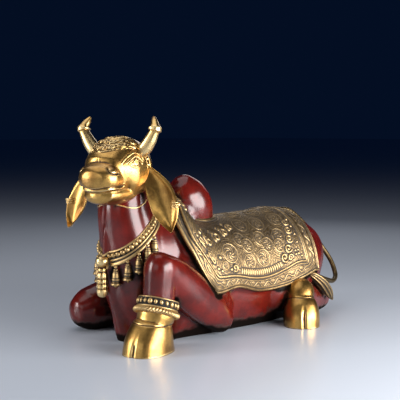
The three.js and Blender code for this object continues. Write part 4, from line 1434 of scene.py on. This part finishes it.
def ears(material):
    across, front = hoof_axes(EAR_TURN)

    def leaf(points, along, angle):
        """Hollows the front of the ear inside a fine raised rim, and its back a little."""
        middle = spline(np.array(EAR)[:, :3], along)
        share = np.abs(np.cos(angle))
        facing = np.clip(((points - middle) @ front) / EAR_EDGE, 0, 1)
        fade = np.clip(along / EAR_ROOT, 0, 1) * np.clip((1 - along) / EAR_TIP, 0, 1)
        bowl = np.clip(1 - (share / EAR_BOWL_EDGE) ** 2, 0, 1)
        open_out = np.clip(along * 2.4 - 0.5, 0, 1)
        deep = EAR_BOWL * (EAR_BOWL_AT_ROOT + (1 - EAR_BOWL_AT_ROOT) * open_out)
        rim = np.clip(1 - ((share - EAR_RIM_PLACE) / EAR_RIM_WIDTH) ** 2, 0, 1)
        depth = facing * fade * (EAR_RIM * rim - deep * bowl)
        depth -= (1 - facing) * EAR_BACK * fade * np.clip(1 - share ** 2, 0, 1)
        return points + np.outer(depth, front)

    for side, flip in (("left", False), ("right", True)):
        bm = bmesh.new()
        loft(bm, EAR, 120, 110, onto=on_head, flip=flip, across=across, fullness=2.0, shape=leaf)
        piece("ear_" + side, bm, material, rounds=8, reach=1.2 * MM)
        earring("earring_" + side, flip, across, front, material)


def earring(name, flip, across, front, material):
    """Three wire loops round the ear's edge, and a stud beside them."""
    bm = bmesh.new()
    wide, deep = EARRING_REACH
    for drop in EARRING_DROPS:
        centre = EARRING_PLACE - AXIS_Z * drop

        def locate(turn, out, height):
            spoke = across * math.cos(turn) * (wide + out) + front * math.sin(turn) * (deep + out)
            return on_head((centre + spoke + AXIS_Z * height) * mirror(flip))[0]

        ring_from_section(bm, round_section(10, EARRING_WIRE), EARRING_SIDES, locate)
    stud = on_head(np.array(EAR_STUD_PLACE) * mirror(flip))[0]
    ball(bm, stud, (EAR_STUD,) * 3, AXIS_Z, 3)
    piece(name, bm, material)


def round_section(count, radius=1.0):
    turns = 2 * math.pi * np.arange(count) / count
    return [(radius * math.cos(turn), radius * math.sin(turn)) for turn in turns]


THROAT_CORD = [
    [2.9, -60.9, 62.9], [6.2, -59.5, 61.7], [8.2, -57.9, 61], [10, -55.1, 60.2],
    [11, -51.6, 60], [10.7, -47.8, 61.4], [9.6, -44.8, 63.4],
]
THROAT_CORD_WIRE = 1.3 * MM
THROAT_CORD_LIFT = 0.3 * THROAT_CORD_WIRE


def throat_cord(tree, material):
    """The bridle's cord under the throat, laid on the neck."""
    near = smooth_line(THROAT_CORD, 50) * PART
    far = on_head(off_head(near) * mirror(True))[::-1]
    bridge = smooth_line(np.vstack([far[-2:], near[:2]]), 20)
    rows = []
    for place in np.vstack([far[:-2], bridge, near[2:]])[::2]:
        point, normal, _, _ = tree.find_nearest(Vector(place))
        rows.append([*(point + normal * THROAT_CORD_LIFT), THROAT_CORD_WIRE, THROAT_CORD_WIRE])
    bm = bmesh.new()
    loft(bm, rows, 12, 240, onto=lambda points: points, across=AXIS_Z, fullness=2)
    piece("bridle_cord", bm, material)


# Carving of the saddle cloth: heights in millimetres, and widths, reaches and pitches in parts

CLOTH_STEPS = (326, 230)
LINING_STEPS = (26, 20)
LINING_DROP = 4.2
CLOTH_LIFT = 0.2
SPIRAL_SWEEP = 2.6 * math.pi
SPIRAL_CLOSING = 0.82
# Ridges that follow a line: how far beside it, their height and their half width
CORD_RIDGES = [(0, 2.1, 0.62)]
CORD_FINE_RIDGES = [(1.35, 1.0, 0.34)]
HEM_RIDGES = [(0.6, 1.9, 0.6), (1.75, 1.0, 0.32)]
COLLAR_RINGS = [(0.75, 1.8, 0.62), (1.75, 1.1, 0.36), (2.55, 1.5, 0.5)]
COLLAR_REACH = 2.6
COLLAR_FADE = 0.6
COLLAR_LIFT = 5.5
# The border's vine and leaves; a single ridge is a height and a half width
BAND_FROM_HEM = 1.9
BAND_FROM_CORD = 1.5
VINE_PITCH = 6.6
VINE_SWING = 1.1
VINE_RIDGE = (1.1, 0.4)
LEAF_PLACE = 0.95
LEAF_RIDGE = (1.3, 1.2)
ROUNDEL_RINGS = [(0.94, 1.35, 0.36), (0.76, 0.9, 0.24)]
ROUNDEL_ARMS = 7
ROUNDEL_TWIST = 1.9
SCROLL_PITCH = 1.15
SCROLL_SHAKE = 0.3
FLUTE_REACH = 1.7
FLUTE_RIDGE = (2.4, 0.42)
CURL_RIDGE = (2.8, 0.62)
KNOB_HEIGHT = 2.4
FRONT_BEAD_HEIGHT = 2.8
GROOVE_DEPTH = 2.6
GROOVE_WIDTH = 0.75
GROOVE_LENGTH = 27
GROOVE_FADE = 6


def bump_of(distance, width):
    """A round ridge as a share of its height, at a distance from its line."""
    return np.sqrt(np.clip(1 - (distance / width) ** 2, 0, 1))


def spiral(x, y, radius, sense, start):
    """A flat line that winds inward about a place."""
    share = np.linspace(0, 1, 30)
    angle = start + sense * share * SPIRAL_SWEEP
    reach = radius * (1 - SPIRAL_CLOSING * share)
    return np.stack([x + reach * np.cos(angle), y + reach * np.sin(angle)], axis=1)


def along_and_across(points, line):
    """How far along a line and how far to its side each point lies."""
    gap, along = near_line(points, line)
    ahead = np.gradient(line, axis=0)
    lengths = np.concatenate([[0], np.cumsum(np.linalg.norm(np.diff(line, axis=0), axis=1))])
    foot = np.stack([np.interp(along, lengths, line[:, k]) for k in range(2)], axis=1)
    way = np.stack([np.interp(along, lengths, ahead[:, k]) for k in range(2)], axis=1)
    offset = points - foot
    return along, gap * np.sign(way[:, 0] * offset[:, 1] - way[:, 1] * offset[:, 0])


class Relief:
    """Carving over flat places, as heights in millimetres."""

    def __init__(self, flat, ground=0.0):
        self.flat = flat
        self.height = np.full(len(flat), ground)

    def raise_to(self, height, where=True):
        np.maximum(self.height, np.where(where, height, 0), out=self.height)

    def raise_ridges(self, gap, ridges, where=True):
        """Ridges that run beside a line, given how far each place lies from it."""
        for beside, height, width in ridges:
            self.raise_to(height * bump_of(gap - beside, width), where)

    def near(self, y, down, radius):
        offset = self.flat - [y, down]
        return np.flatnonzero(np.abs(offset).max(axis=1) < radius)

    def stand(self, near, gap, height, width, clear, keep):
        """A round ridge at some places, with what lies close beside it lowered to a share."""
        beside = np.clip((gap - width) / (width * clear), keep, 1)
        self.height[near] = np.maximum(self.height[near] * beside, height * bump_of(gap, width))

    def ridge(self, line, height, width):
        middle = line.mean(axis=0)
        near = self.near(*middle, np.abs(line - middle).max() + width * 2)
        self.stand(near, distance_to(self.flat[near], line), height, width, clear=0.9, keep=0.2)

    def knob(self, y, down, radius, height):
        near = self.near(y, down, radius * 2)
        gap = np.hypot(*(self.flat[near] - [y, down]).T)
        self.stand(near, gap, height, radius, clear=0.5, keep=0.3)


def border(relief, inner, outline, field):
    """The two raised edge cords and the vine with its leaves between them."""
    along, across = along_and_across(relief.flat, inner)
    gap = np.abs(across)
    edge = distance_to(relief.flat, outline)
    relief.raise_ridges(gap, CORD_RIDGES)
    relief.raise_ridges(gap, CORD_FINE_RIDGES, ~field)
    relief.raise_ridges(edge, HEM_RIDGES)
    middle = (gap - edge) / 2
    band = (~field) & (edge > BAND_FROM_HEM) & (gap > BAND_FROM_CORD)
    vine = middle - VINE_SWING * np.sin(along * 2 * math.pi / VINE_PITCH)
    tall, width = VINE_RIDGE
    relief.raise_to(tall * bump_of(vine, width), band)
    run = along % (VINE_PITCH / 2) - VINE_PITCH / 4
    side = np.where((along // (VINE_PITCH / 2)) % 2 == 0, 1, -1)
    leaf = np.hypot(run * 0.8, (middle + side * LEAF_PLACE) * 1.3)
    veins = 0.72 + 0.28 * np.cos((run * 0.9 + middle * side) * 6)
    tall, width = LEAF_RIDGE
    relief.raise_to(tall * bump_of(leaf, width) * veins, band)


def roundel(relief, y, down, radius):
    """A round of two rings and a swirl of arms about a knob, sunk a little into the field."""
    near = relief.near(y, down, radius + 0.5)
    offset = relief.flat[near] - [y, down]
    gap = np.hypot(*offset.T)
    turn = np.arctan2(offset[:, 1], offset[:, 0])
    dome = 0.1 + 0.35 * np.clip(1 - (gap / radius) ** 2, 0, 1)
    height = np.where(gap < radius, dome, relief.height[near])
    for share, tall, width in ROUNDEL_RINGS:
        height = np.maximum(height, tall * bump_of(gap - radius * share, width))
    swirl = np.abs(np.sin(turn * ROUNDEL_ARMS / 2 + gap * ROUNDEL_TWIST))
    arms = bump_of(1 - swirl, 0.34) * bump_of(gap - radius * 0.43, radius * 0.3)
    knob = bump_of(gap, radius * 0.15)
    relief.height[near] = np.max([height, 1.25 * arms, 1.4 * knob], axis=0)


def collar(relief, cover, hump):
    """Raised rings of the cloth round the foot of the hump."""
    near = np.flatnonzero((relief.flat[:, 0] < 4) & (relief.flat[:, 1] < 22))
    places = on_cloth(cover, *relief.flat[near].T, np.zeros(len(near)))
    gap = np.array([hump.find_nearest(Vector(place))[3] for place in places]) / PART
    height = relief.height[near] * np.clip((gap - COLLAR_REACH) / COLLAR_FADE, 0, 1)
    for reach, tall, width in COLLAR_RINGS:
        height = np.maximum(height, tall * bump_of(gap - reach, width))
    relief.height[near] = height + COLLAR_LIFT * np.clip(1 - gap / COLLAR_REACH, 0, 1) ** 2


def scrolls(relief, field):
    """Fine wavering lines that run round the roundels and fill the field."""
    y, down = relief.flat.T
    swirl = np.sin(y * 1.9 + 1.6 * np.sin(down * 1.2)) * np.sin(down * 2.1 + 1.4 * np.sin(y * 1.1))
    rings = np.min([np.hypot(y - place[0], down - place[1]) - place[2] for place in ROUNDELS], axis=0)
    scroll = (rings + SCROLL_SHAKE * swirl) / SCROLL_PITCH % 1 - 0.5
    uneven = 0.75 + 0.25 * np.cos(y * 3.1) * np.cos(down * 2.7)
    relief.raise_to(0.25 + 0.6 * bump_of(scroll, 0.32) * uneven, field)


def flutes(relief):
    """A row of upright flutes above the hem."""
    line = smooth_line(FLUTE_LINE, 60)
    along, across = along_and_across(relief.flat, line)
    length = np.linalg.norm(np.diff(line, axis=0), axis=1).sum()
    run = (along * FLUTE_COUNT / length) % 1 - 0.5
    within = (along > 0.01) & (along < length - 0.01)
    beside = np.clip((np.abs(across) - FLUTE_REACH) / 0.5, 0, 1)
    relief.height = np.where(within, relief.height * beside, relief.height)
    tall, width = FLUTE_RIDGE
    relief.raise_to(tall * bump_of(run, width) * bump_of(across, FLUTE_REACH), within)


def cloth_relief(flat, cover, hump):
    """The carving's height in millimetres over places of the flat cloth."""
    relief = Relief(flat)
    cords = [smooth_line(FRONT_CORD), smooth_line(HEM_CORD, 50)[1:], smooth_line(REAR_CORD, 30)[1:]]
    inner = np.vstack(cords)
    spine = [[inner[-1, 0], PAST_SPINE], [inner[0, 0], PAST_SPINE]]
    field = inside_outline(flat, np.vstack([inner, spine]))
    scrolls(relief, field)
    border(relief, inner, cloth_outline(), field)
    for place in ROUNDELS:
        roundel(relief, *place)
    flutes(relief)
    for curl in CURLS:
        relief.ridge(spiral(*curl), *CURL_RIDGE)
    for knob in KNOBS:
        relief.knob(*knob, KNOB_HEIGHT)
    for bead in FRONT_BEADS:
        relief.knob(*bead, FRONT_BEAD_HEIGHT)
    collar(relief, cover, hump)
    gap, along = near_line(flat, smooth_line(GROOVE))
    fade = np.clip((GROOVE_LENGTH - along) / GROOVE_FADE, 0, 1)
    relief.height -= GROOVE_DEPTH * fade * bump_of(gap, GROOVE_WIDTH)
    return relief.height


def coons(front, hem, rear, a, b):
    """Places of the flat cloth from shares towards the tail and down to the hem."""
    left, right, bottom = spline(front, b), spline(rear, b), spline(hem, a)
    top = np.stack([front[0][0] + (rear[0][0] - front[0][0]) * a, np.zeros(len(a))], axis=1)
    a, b = a[:, None], b[:, None]
    corners = (
        (1 - a) * (1 - b) * np.array(front[0]) + a * (1 - b) * np.array(rear[0])
        + (1 - a) * b * np.array(front[-1]) + a * b * np.array(rear[-1])
    )
    return (1 - a) * left + a * right + (1 - b) * top + b * bottom - corners


def cloth_side(name, side, material, cover, hump):
    """Half of the saddle cloth, from the spine to the hem: carved above, plain below, closed all round."""
    bm = bmesh.new()
    rims = []
    for steps, drop in ((CLOTH_STEPS, 0), (LINING_STEPS, LINING_DROP)):
        grid = bmesh.ops.create_grid(bm, x_segments=steps[0], y_segments=steps[1], size=1)["verts"]
        share = np.array([vert.co[:2] for vert in grid]) / 2 + 0.5
        flat = coons(CLOTH_FRONT, CLOTH_HEM, CLOTH_REAR, share[:, 0], share[:, 1])
        if drop:
            height = np.full(len(flat), -drop * PART)
        else:
            height = (cloth_relief(flat, cover, hump) + CLOTH_LIFT) * MM
        for vert, point in zip(grid, on_cloth(cover, flat[:, 0], flat[:, 1], height, side).tolist()):
            vert.co = point
        chosen = set(grid)
        rims.append([edge for edge in bm.edges if edge.is_boundary and edge.verts[0] in chosen])
    bmesh.ops.bridge_loops(bm, edges=rims[0] + rims[1])
    piece(name, bm, material, rounds=6, reach=0.62 * MM)


# Necklace

STRAP_SIDES = 240
NECK_BEAD = 9.4 * MM
NECK_BEAD_FLATNESS = 0.86
NECK_BEAD_COUNT = 44
NECK_BEAD_DROP = 6.4 * MM
NECK_BEAD_OUT = 2.6 * MM
BELL_LENGTH = 35 * MM
BELL_WIDTH = 18 * MM
BELL_DROP = 21 * MM
BELL_ANGLES = [18, 36, 54, 72, 90]
BELL_OUT = 0.36 * BELL_WIDTH
PENDANT_LENGTH = 68 * MM
PENDANT_WIDTH = 20 * MM
PENDANT_DROP = 5 * MM
PENDANT_OUT = 2 * MM
PENDANT_SCALES = 12
PENDANT_SCALE_DEPTH = 0.05
PENDANT_BALL = 0.34 * PENDANT_LENGTH
NECKLACE_PLACE = np.array([0, -48.5, 51]) * PART
NECKLACE_TILT = math.radians(41)
# The strap's section in millimetres: out from the chest and down from its top edge
STRAP_SECTION = [
    (-12, 23), (-12, 0), (1.4, 0), (2.4, 0.7), (2.6, 1.6), (1.8, 2.4), (1.6, 10.8),
    (2.4, 11.4), (3.4, 12.2), (3.7, 13.2), (3.4, 14.2), (2.4, 15), (1.8, 15.4), (1.8, 16.4),
    (2.6, 16.9), (4, 17.7), (4.6, 19), (4.6, 20.2), (4, 21.4), (2.6, 22.4), (1, 23),
]


def chest_hit(tree, angle, drop):
    """Where the necklace's plane, lowered by a drop, meets the chest in a direction round it."""
    front = np.array([0, -math.cos(NECKLACE_TILT), -math.sin(NECKLACE_TILT)])
    up = np.cross(front, AXIS_X)
    away = front * math.cos(angle) + np.cross(up, front) * math.sin(angle)
    goal = NECKLACE_PLACE - up * drop
    place, _, _, _ = tree.ray_cast(Vector(goal + away * FIGURE_HEIGHT), Vector(-away))
    return np.array(place), away


SAME_PLACE = 1e-6


def ring_from_section(bm, section, count, locate):
    """Adds a closed section carried round by a function of the turn and the section's point."""
    columns = len(section)
    grid = bmesh.ops.create_grid(bm, x_segments=count, y_segments=columns, size=1)["verts"]
    for vert in grid:
        turn = 2 * math.pi * ((vert.co.x / 2 + 0.5) % 1)
        k = round((vert.co.y / 2 + 0.5) * columns) % columns
        vert.co = locate(turn, *section[k])
    bmesh.ops.remove_doubles(bm, verts=grid, dist=SAME_PLACE)


def turned(bm, profile, width, length, place, segments):
    """Adds an upright turned form, its profile's radii as shares of a width and heights of a length."""
    verts = [bm.verts.new((radius * width, 0, height * length)) for radius, height in profile]
    edges = [bm.edges.new(pair) for pair in zip(verts, verts[1:])]
    bmesh.ops.spin(
        bm, geom=verts + edges, cent=(0, 0, 0), axis=(0, 0, 1),
        angle=2 * math.pi, steps=segments, use_merge=True,
    )
    fresh = [vert for vert in bm.verts if not vert.tag]
    bmesh.ops.remove_doubles(bm, verts=fresh, dist=SAME_PLACE)
    fresh = [vert for vert in bm.verts if not vert.tag]
    bmesh.ops.translate(bm, verts=fresh, vec=Vector(place))
    for vert in fresh:
        vert.tag = True
    return fresh


def ball(bm, place, size, axis, detail):
    """Adds a ball of some width, depth and height, its height along an axis."""
    verts = bmesh.ops.create_icosphere(bm, subdivisions=detail, radius=0.5)["verts"]
    turn = Vector(axis).to_track_quat("Z", "Y").to_matrix().to_4x4()
    matrix = Matrix.Translation(Vector(place)) @ turn @ Matrix.Diagonal((*size, 1))
    bmesh.ops.transform(bm, matrix=matrix, verts=verts)


# Radius as a share of the rim's width, and height as a share of the length
BELL_PROFILE = [
    [0, 0.06], [0.09, 0.05], [0.15, 0.01], [0.16, -0.05], [0.1, -0.1], [0.1, -0.12], [0.2, -0.14],
    [0.23, -0.17], [0.2, -0.2], [0.2, -0.22], [0.27, -0.24], [0.29, -0.27], [0.26, -0.3], [0.31, -0.34],
    [0.34, -0.42], [0.36, -0.52], [0.37, -0.6], [0.41, -0.62], [0.42, -0.66], [0.38, -0.69], [0.4, -0.76],
    [0.43, -0.82], [0.49, -0.86], [0.5, -0.9], [0.47, -0.94], [0.4, -0.95], [0.2, -0.93], [0.15, -0.95],
    [0.16, -1], [0.1, -1.04], [0, -1.05],
]
PENDANT_PROFILE = [
    [0, 0.09], [0.26, 0.08], [0.48, 0.045], [0.6, -0.01], [0.62, -0.06], [0.57, -0.12],
    [0.44, -0.18], [0.36, -0.22], [0.42, -0.26], [0.44, -0.29], [0.4, -0.32], [0.44, -0.37],
    [0.48, -0.42], [0.5, -0.47], [0.46, -0.5], [0.5, -0.55], [0.51, -0.6], [0.47, -0.63],
    [0.51, -0.68], [0.51, -0.73], [0.46, -0.76], [0.5, -0.81], [0.47, -0.88], [0.4, -0.94],
    [0.28, -0.98], [0, -1],
]


def necklace(aged, polished):
    tree = form_tree(TRUNK_FORM, NECK_FORM, DEWLAP_FORM)

    def out_from_chest(angle, drop, out):
        place, away = chest_hit(tree, angle, drop)
        return place + away * out

    def on_strap(angle, out, drop):
        return out_from_chest(angle, drop * MM, out * MM)

    strap = bmesh.new()
    ring_from_section(strap, STRAP_SECTION, STRAP_SIDES, on_strap)
    piece("necklace_strap", strap, aged)
    beads = bmesh.new()
    size = (NECK_BEAD, NECK_BEAD, NECK_BEAD * NECK_BEAD_FLATNESS)
    for k in range(NECK_BEAD_COUNT):
        place, away = chest_hit(tree, 2 * math.pi * k / NECK_BEAD_COUNT, NECK_BEAD_DROP)
        ball(beads, place + away * NECK_BEAD_OUT, size, away, 3)
    piece("necklace_beads", beads, aged)
    bells = bmesh.new()
    for degrees in BELL_ANGLES:
        for sense in (1, -1):
            place = out_from_chest(math.radians(degrees * sense), BELL_DROP, BELL_OUT)
            turned(bells, BELL_PROFILE, BELL_WIDTH, BELL_LENGTH, place, 28)
    piece("necklace_bells", bells, aged)
    pendant = bmesh.new()
    middle = Vector(out_from_chest(0, PENDANT_DROP, PENDANT_OUT))
    for vert in turned(pendant, PENDANT_PROFILE, PENDANT_WIDTH, PENDANT_LENGTH, middle, 48):
        off = vert.co - middle
        if off.z < -PENDANT_BALL:
            swell = PENDANT_SCALE_DEPTH * math.cos(PENDANT_SCALES * math.atan2(off.y, off.x))
            vert.co += Vector((off.x, off.y, 0)) * swell
    piece("necklace_pendant", pendant, polished)


# Anklet

ANKLET_PLACE = np.array([24.6, -51.2, 19.6]) * PART
ANKLET_TILT = math.radians(20)
ANKLET_RADIUS = RAISED_PASTERN[1][3] * PART + 3 * MM
# The band's section in millimetres: out from the shin and up
ANKLET_SECTION = [
    (-12, 10), (0, 10), (1.2, 9.4), (1.6, 8.2), (0.8, 7.2), (0.2, 5), (0.2, -3),
    (0.8, -4.6), (1.8, -5.6), (2, -6.8), (1.2, -7.8), (0.6, -8.6), (0.6, -12), (-12, -12),
]
ANKLET_SIDES = 96
ANKLET_BEADS = 22
ANKLET_BEAD_SIZE = (6 * MM, 8.6 * MM, 4.6 * MM)
ANKLET_FOURTH_BEAD_SIZE = (8.4 * MM, 10.5 * MM, 6.4 * MM)
ANKLET_BEAD_PLACE = (0.6, 1.6)
# The rope under the band, in millimetres: where its middle lies, out and up, and its radius
ROPE_PLACE = (1.4, -13.2)
ROPE_RADIUS = 4.6
ROPE_TWISTS = 42
ROPE_TWIST_DEPTH = 0.2
ROPE_SIDES = 580


def anklet(material):
    _, toe = hoof_axes(FRONT_HOOF_TURN)
    lean = AXIS_Z * math.cos(ANKLET_TILT) - toe * math.sin(ANKLET_TILT)
    across = unit(np.cross(lean, toe))
    ahead = np.cross(across, lean)

    def spoke(turn):
        return across * math.cos(turn) + ahead * math.sin(turn)

    def locate(turn, out, height):
        return ANKLET_PLACE + spoke(turn) * (ANKLET_RADIUS + out * MM) + lean * height * MM

    band = bmesh.new()
    ring_from_section(band, ANKLET_SECTION, ANKLET_SIDES, locate)
    for k in range(ANKLET_BEADS):
        turn = 2 * math.pi * k / ANKLET_BEADS
        size = ANKLET_FOURTH_BEAD_SIZE if k % 4 == 1 else ANKLET_BEAD_SIZE
        ball(band, locate(turn, *ANKLET_BEAD_PLACE), size, spoke(turn), 3)
    piece("anklet_band", band, material)
    rope = bmesh.new()

    def locate_rope(turn, out, height):
        twist = math.cos(2 * math.atan2(height, out) + ROPE_TWISTS * turn)
        swell = ROPE_RADIUS * (1 + ROPE_TWIST_DEPTH * twist)
        return locate(turn, ROPE_PLACE[0] + swell * out, ROPE_PLACE[1] + swell * height)

    ring_from_section(rope, round_section(16), ROPE_SIDES, locate_rope)
    piece("anklet_rope", rope, material)


# Tail

TAIL_ACROSS = unit(np.array([1.0, 0.35, 0.4]))
TAIL_SLIMMING = 0.98
TAIL_NOTCHES = 46
TAIL_NOTCH_DEPTH = 0.12
TAIL_NOTCH_END = 0.42
TAIL_NOTCH_FADE = 0.05
TUFT_LOCKS = 9
TUFT_LOCK_DEPTH = 0.09
TUFT_TWIST = 5


def tail(dark, dull):
    """The tail, notched over its first stretch, and the tuft of twisted locks at its end."""
    radius = TAIL_THICKNESS / 2 / PART
    rows = [[*place, radius, radius] for place in TAIL]

    def notches(along, angle):
        fade = np.clip((TAIL_NOTCH_END - along) / TAIL_NOTCH_FADE, 0, 1)
        return TAIL_SLIMMING + TAIL_NOTCH_DEPTH * fade * np.abs(np.sin(along * math.pi * TAIL_NOTCHES))

    def locks(along, angle):
        wave = np.cos(angle * TUFT_LOCKS + along * TUFT_TWIST)
        return 1 + TUFT_LOCK_DEPTH * wave * np.clip(along * 6, 0, 1)

    bm = bmesh.new()
    loft(bm, rows, 20, 360, across=TAIL_ACROSS, fullness=2, swell=notches)
    piece("tail", bm, dark)
    tuft = bmesh.new()
    loft(tuft, TAIL_TUFT, 90, 60, swell=locks)
    piece("tail_tuft", tuft, dull)


# The figure

figure_tree = solid_tree()
make_camera()
studio()
patina_and_shade = patina_and_shade_group()
lacquer = red_lacquer(patina_and_shade)
bright = polished_brass(patina_and_shade)
dull = aged_brass(patina_and_shade)
# The tail's brass: the aged brass at a quarter of its brightness
dark_brass = aged_brass(patina_and_shade, "dark_aged_brass", DARK_BRASS_TONE)
cover_points = cover_table()
cover = (cover_points, cloth_normals(cover_points))
hump = form_tree(HUMP_FORM)
body_tree = bull_body(lacquer, cover, hump)
feet(bright)
bull_head(bright)
throat_cord(body_tree, bright)
horns(bright)
ears(bright)
cloth_side("saddle_cloth_left", 1, dull, cover, hump)
cloth_side("saddle_cloth_right", -1, dull, cover, hump)
necklace(dull, bright)
anklet(dull)
tail(dark_brass, dull)
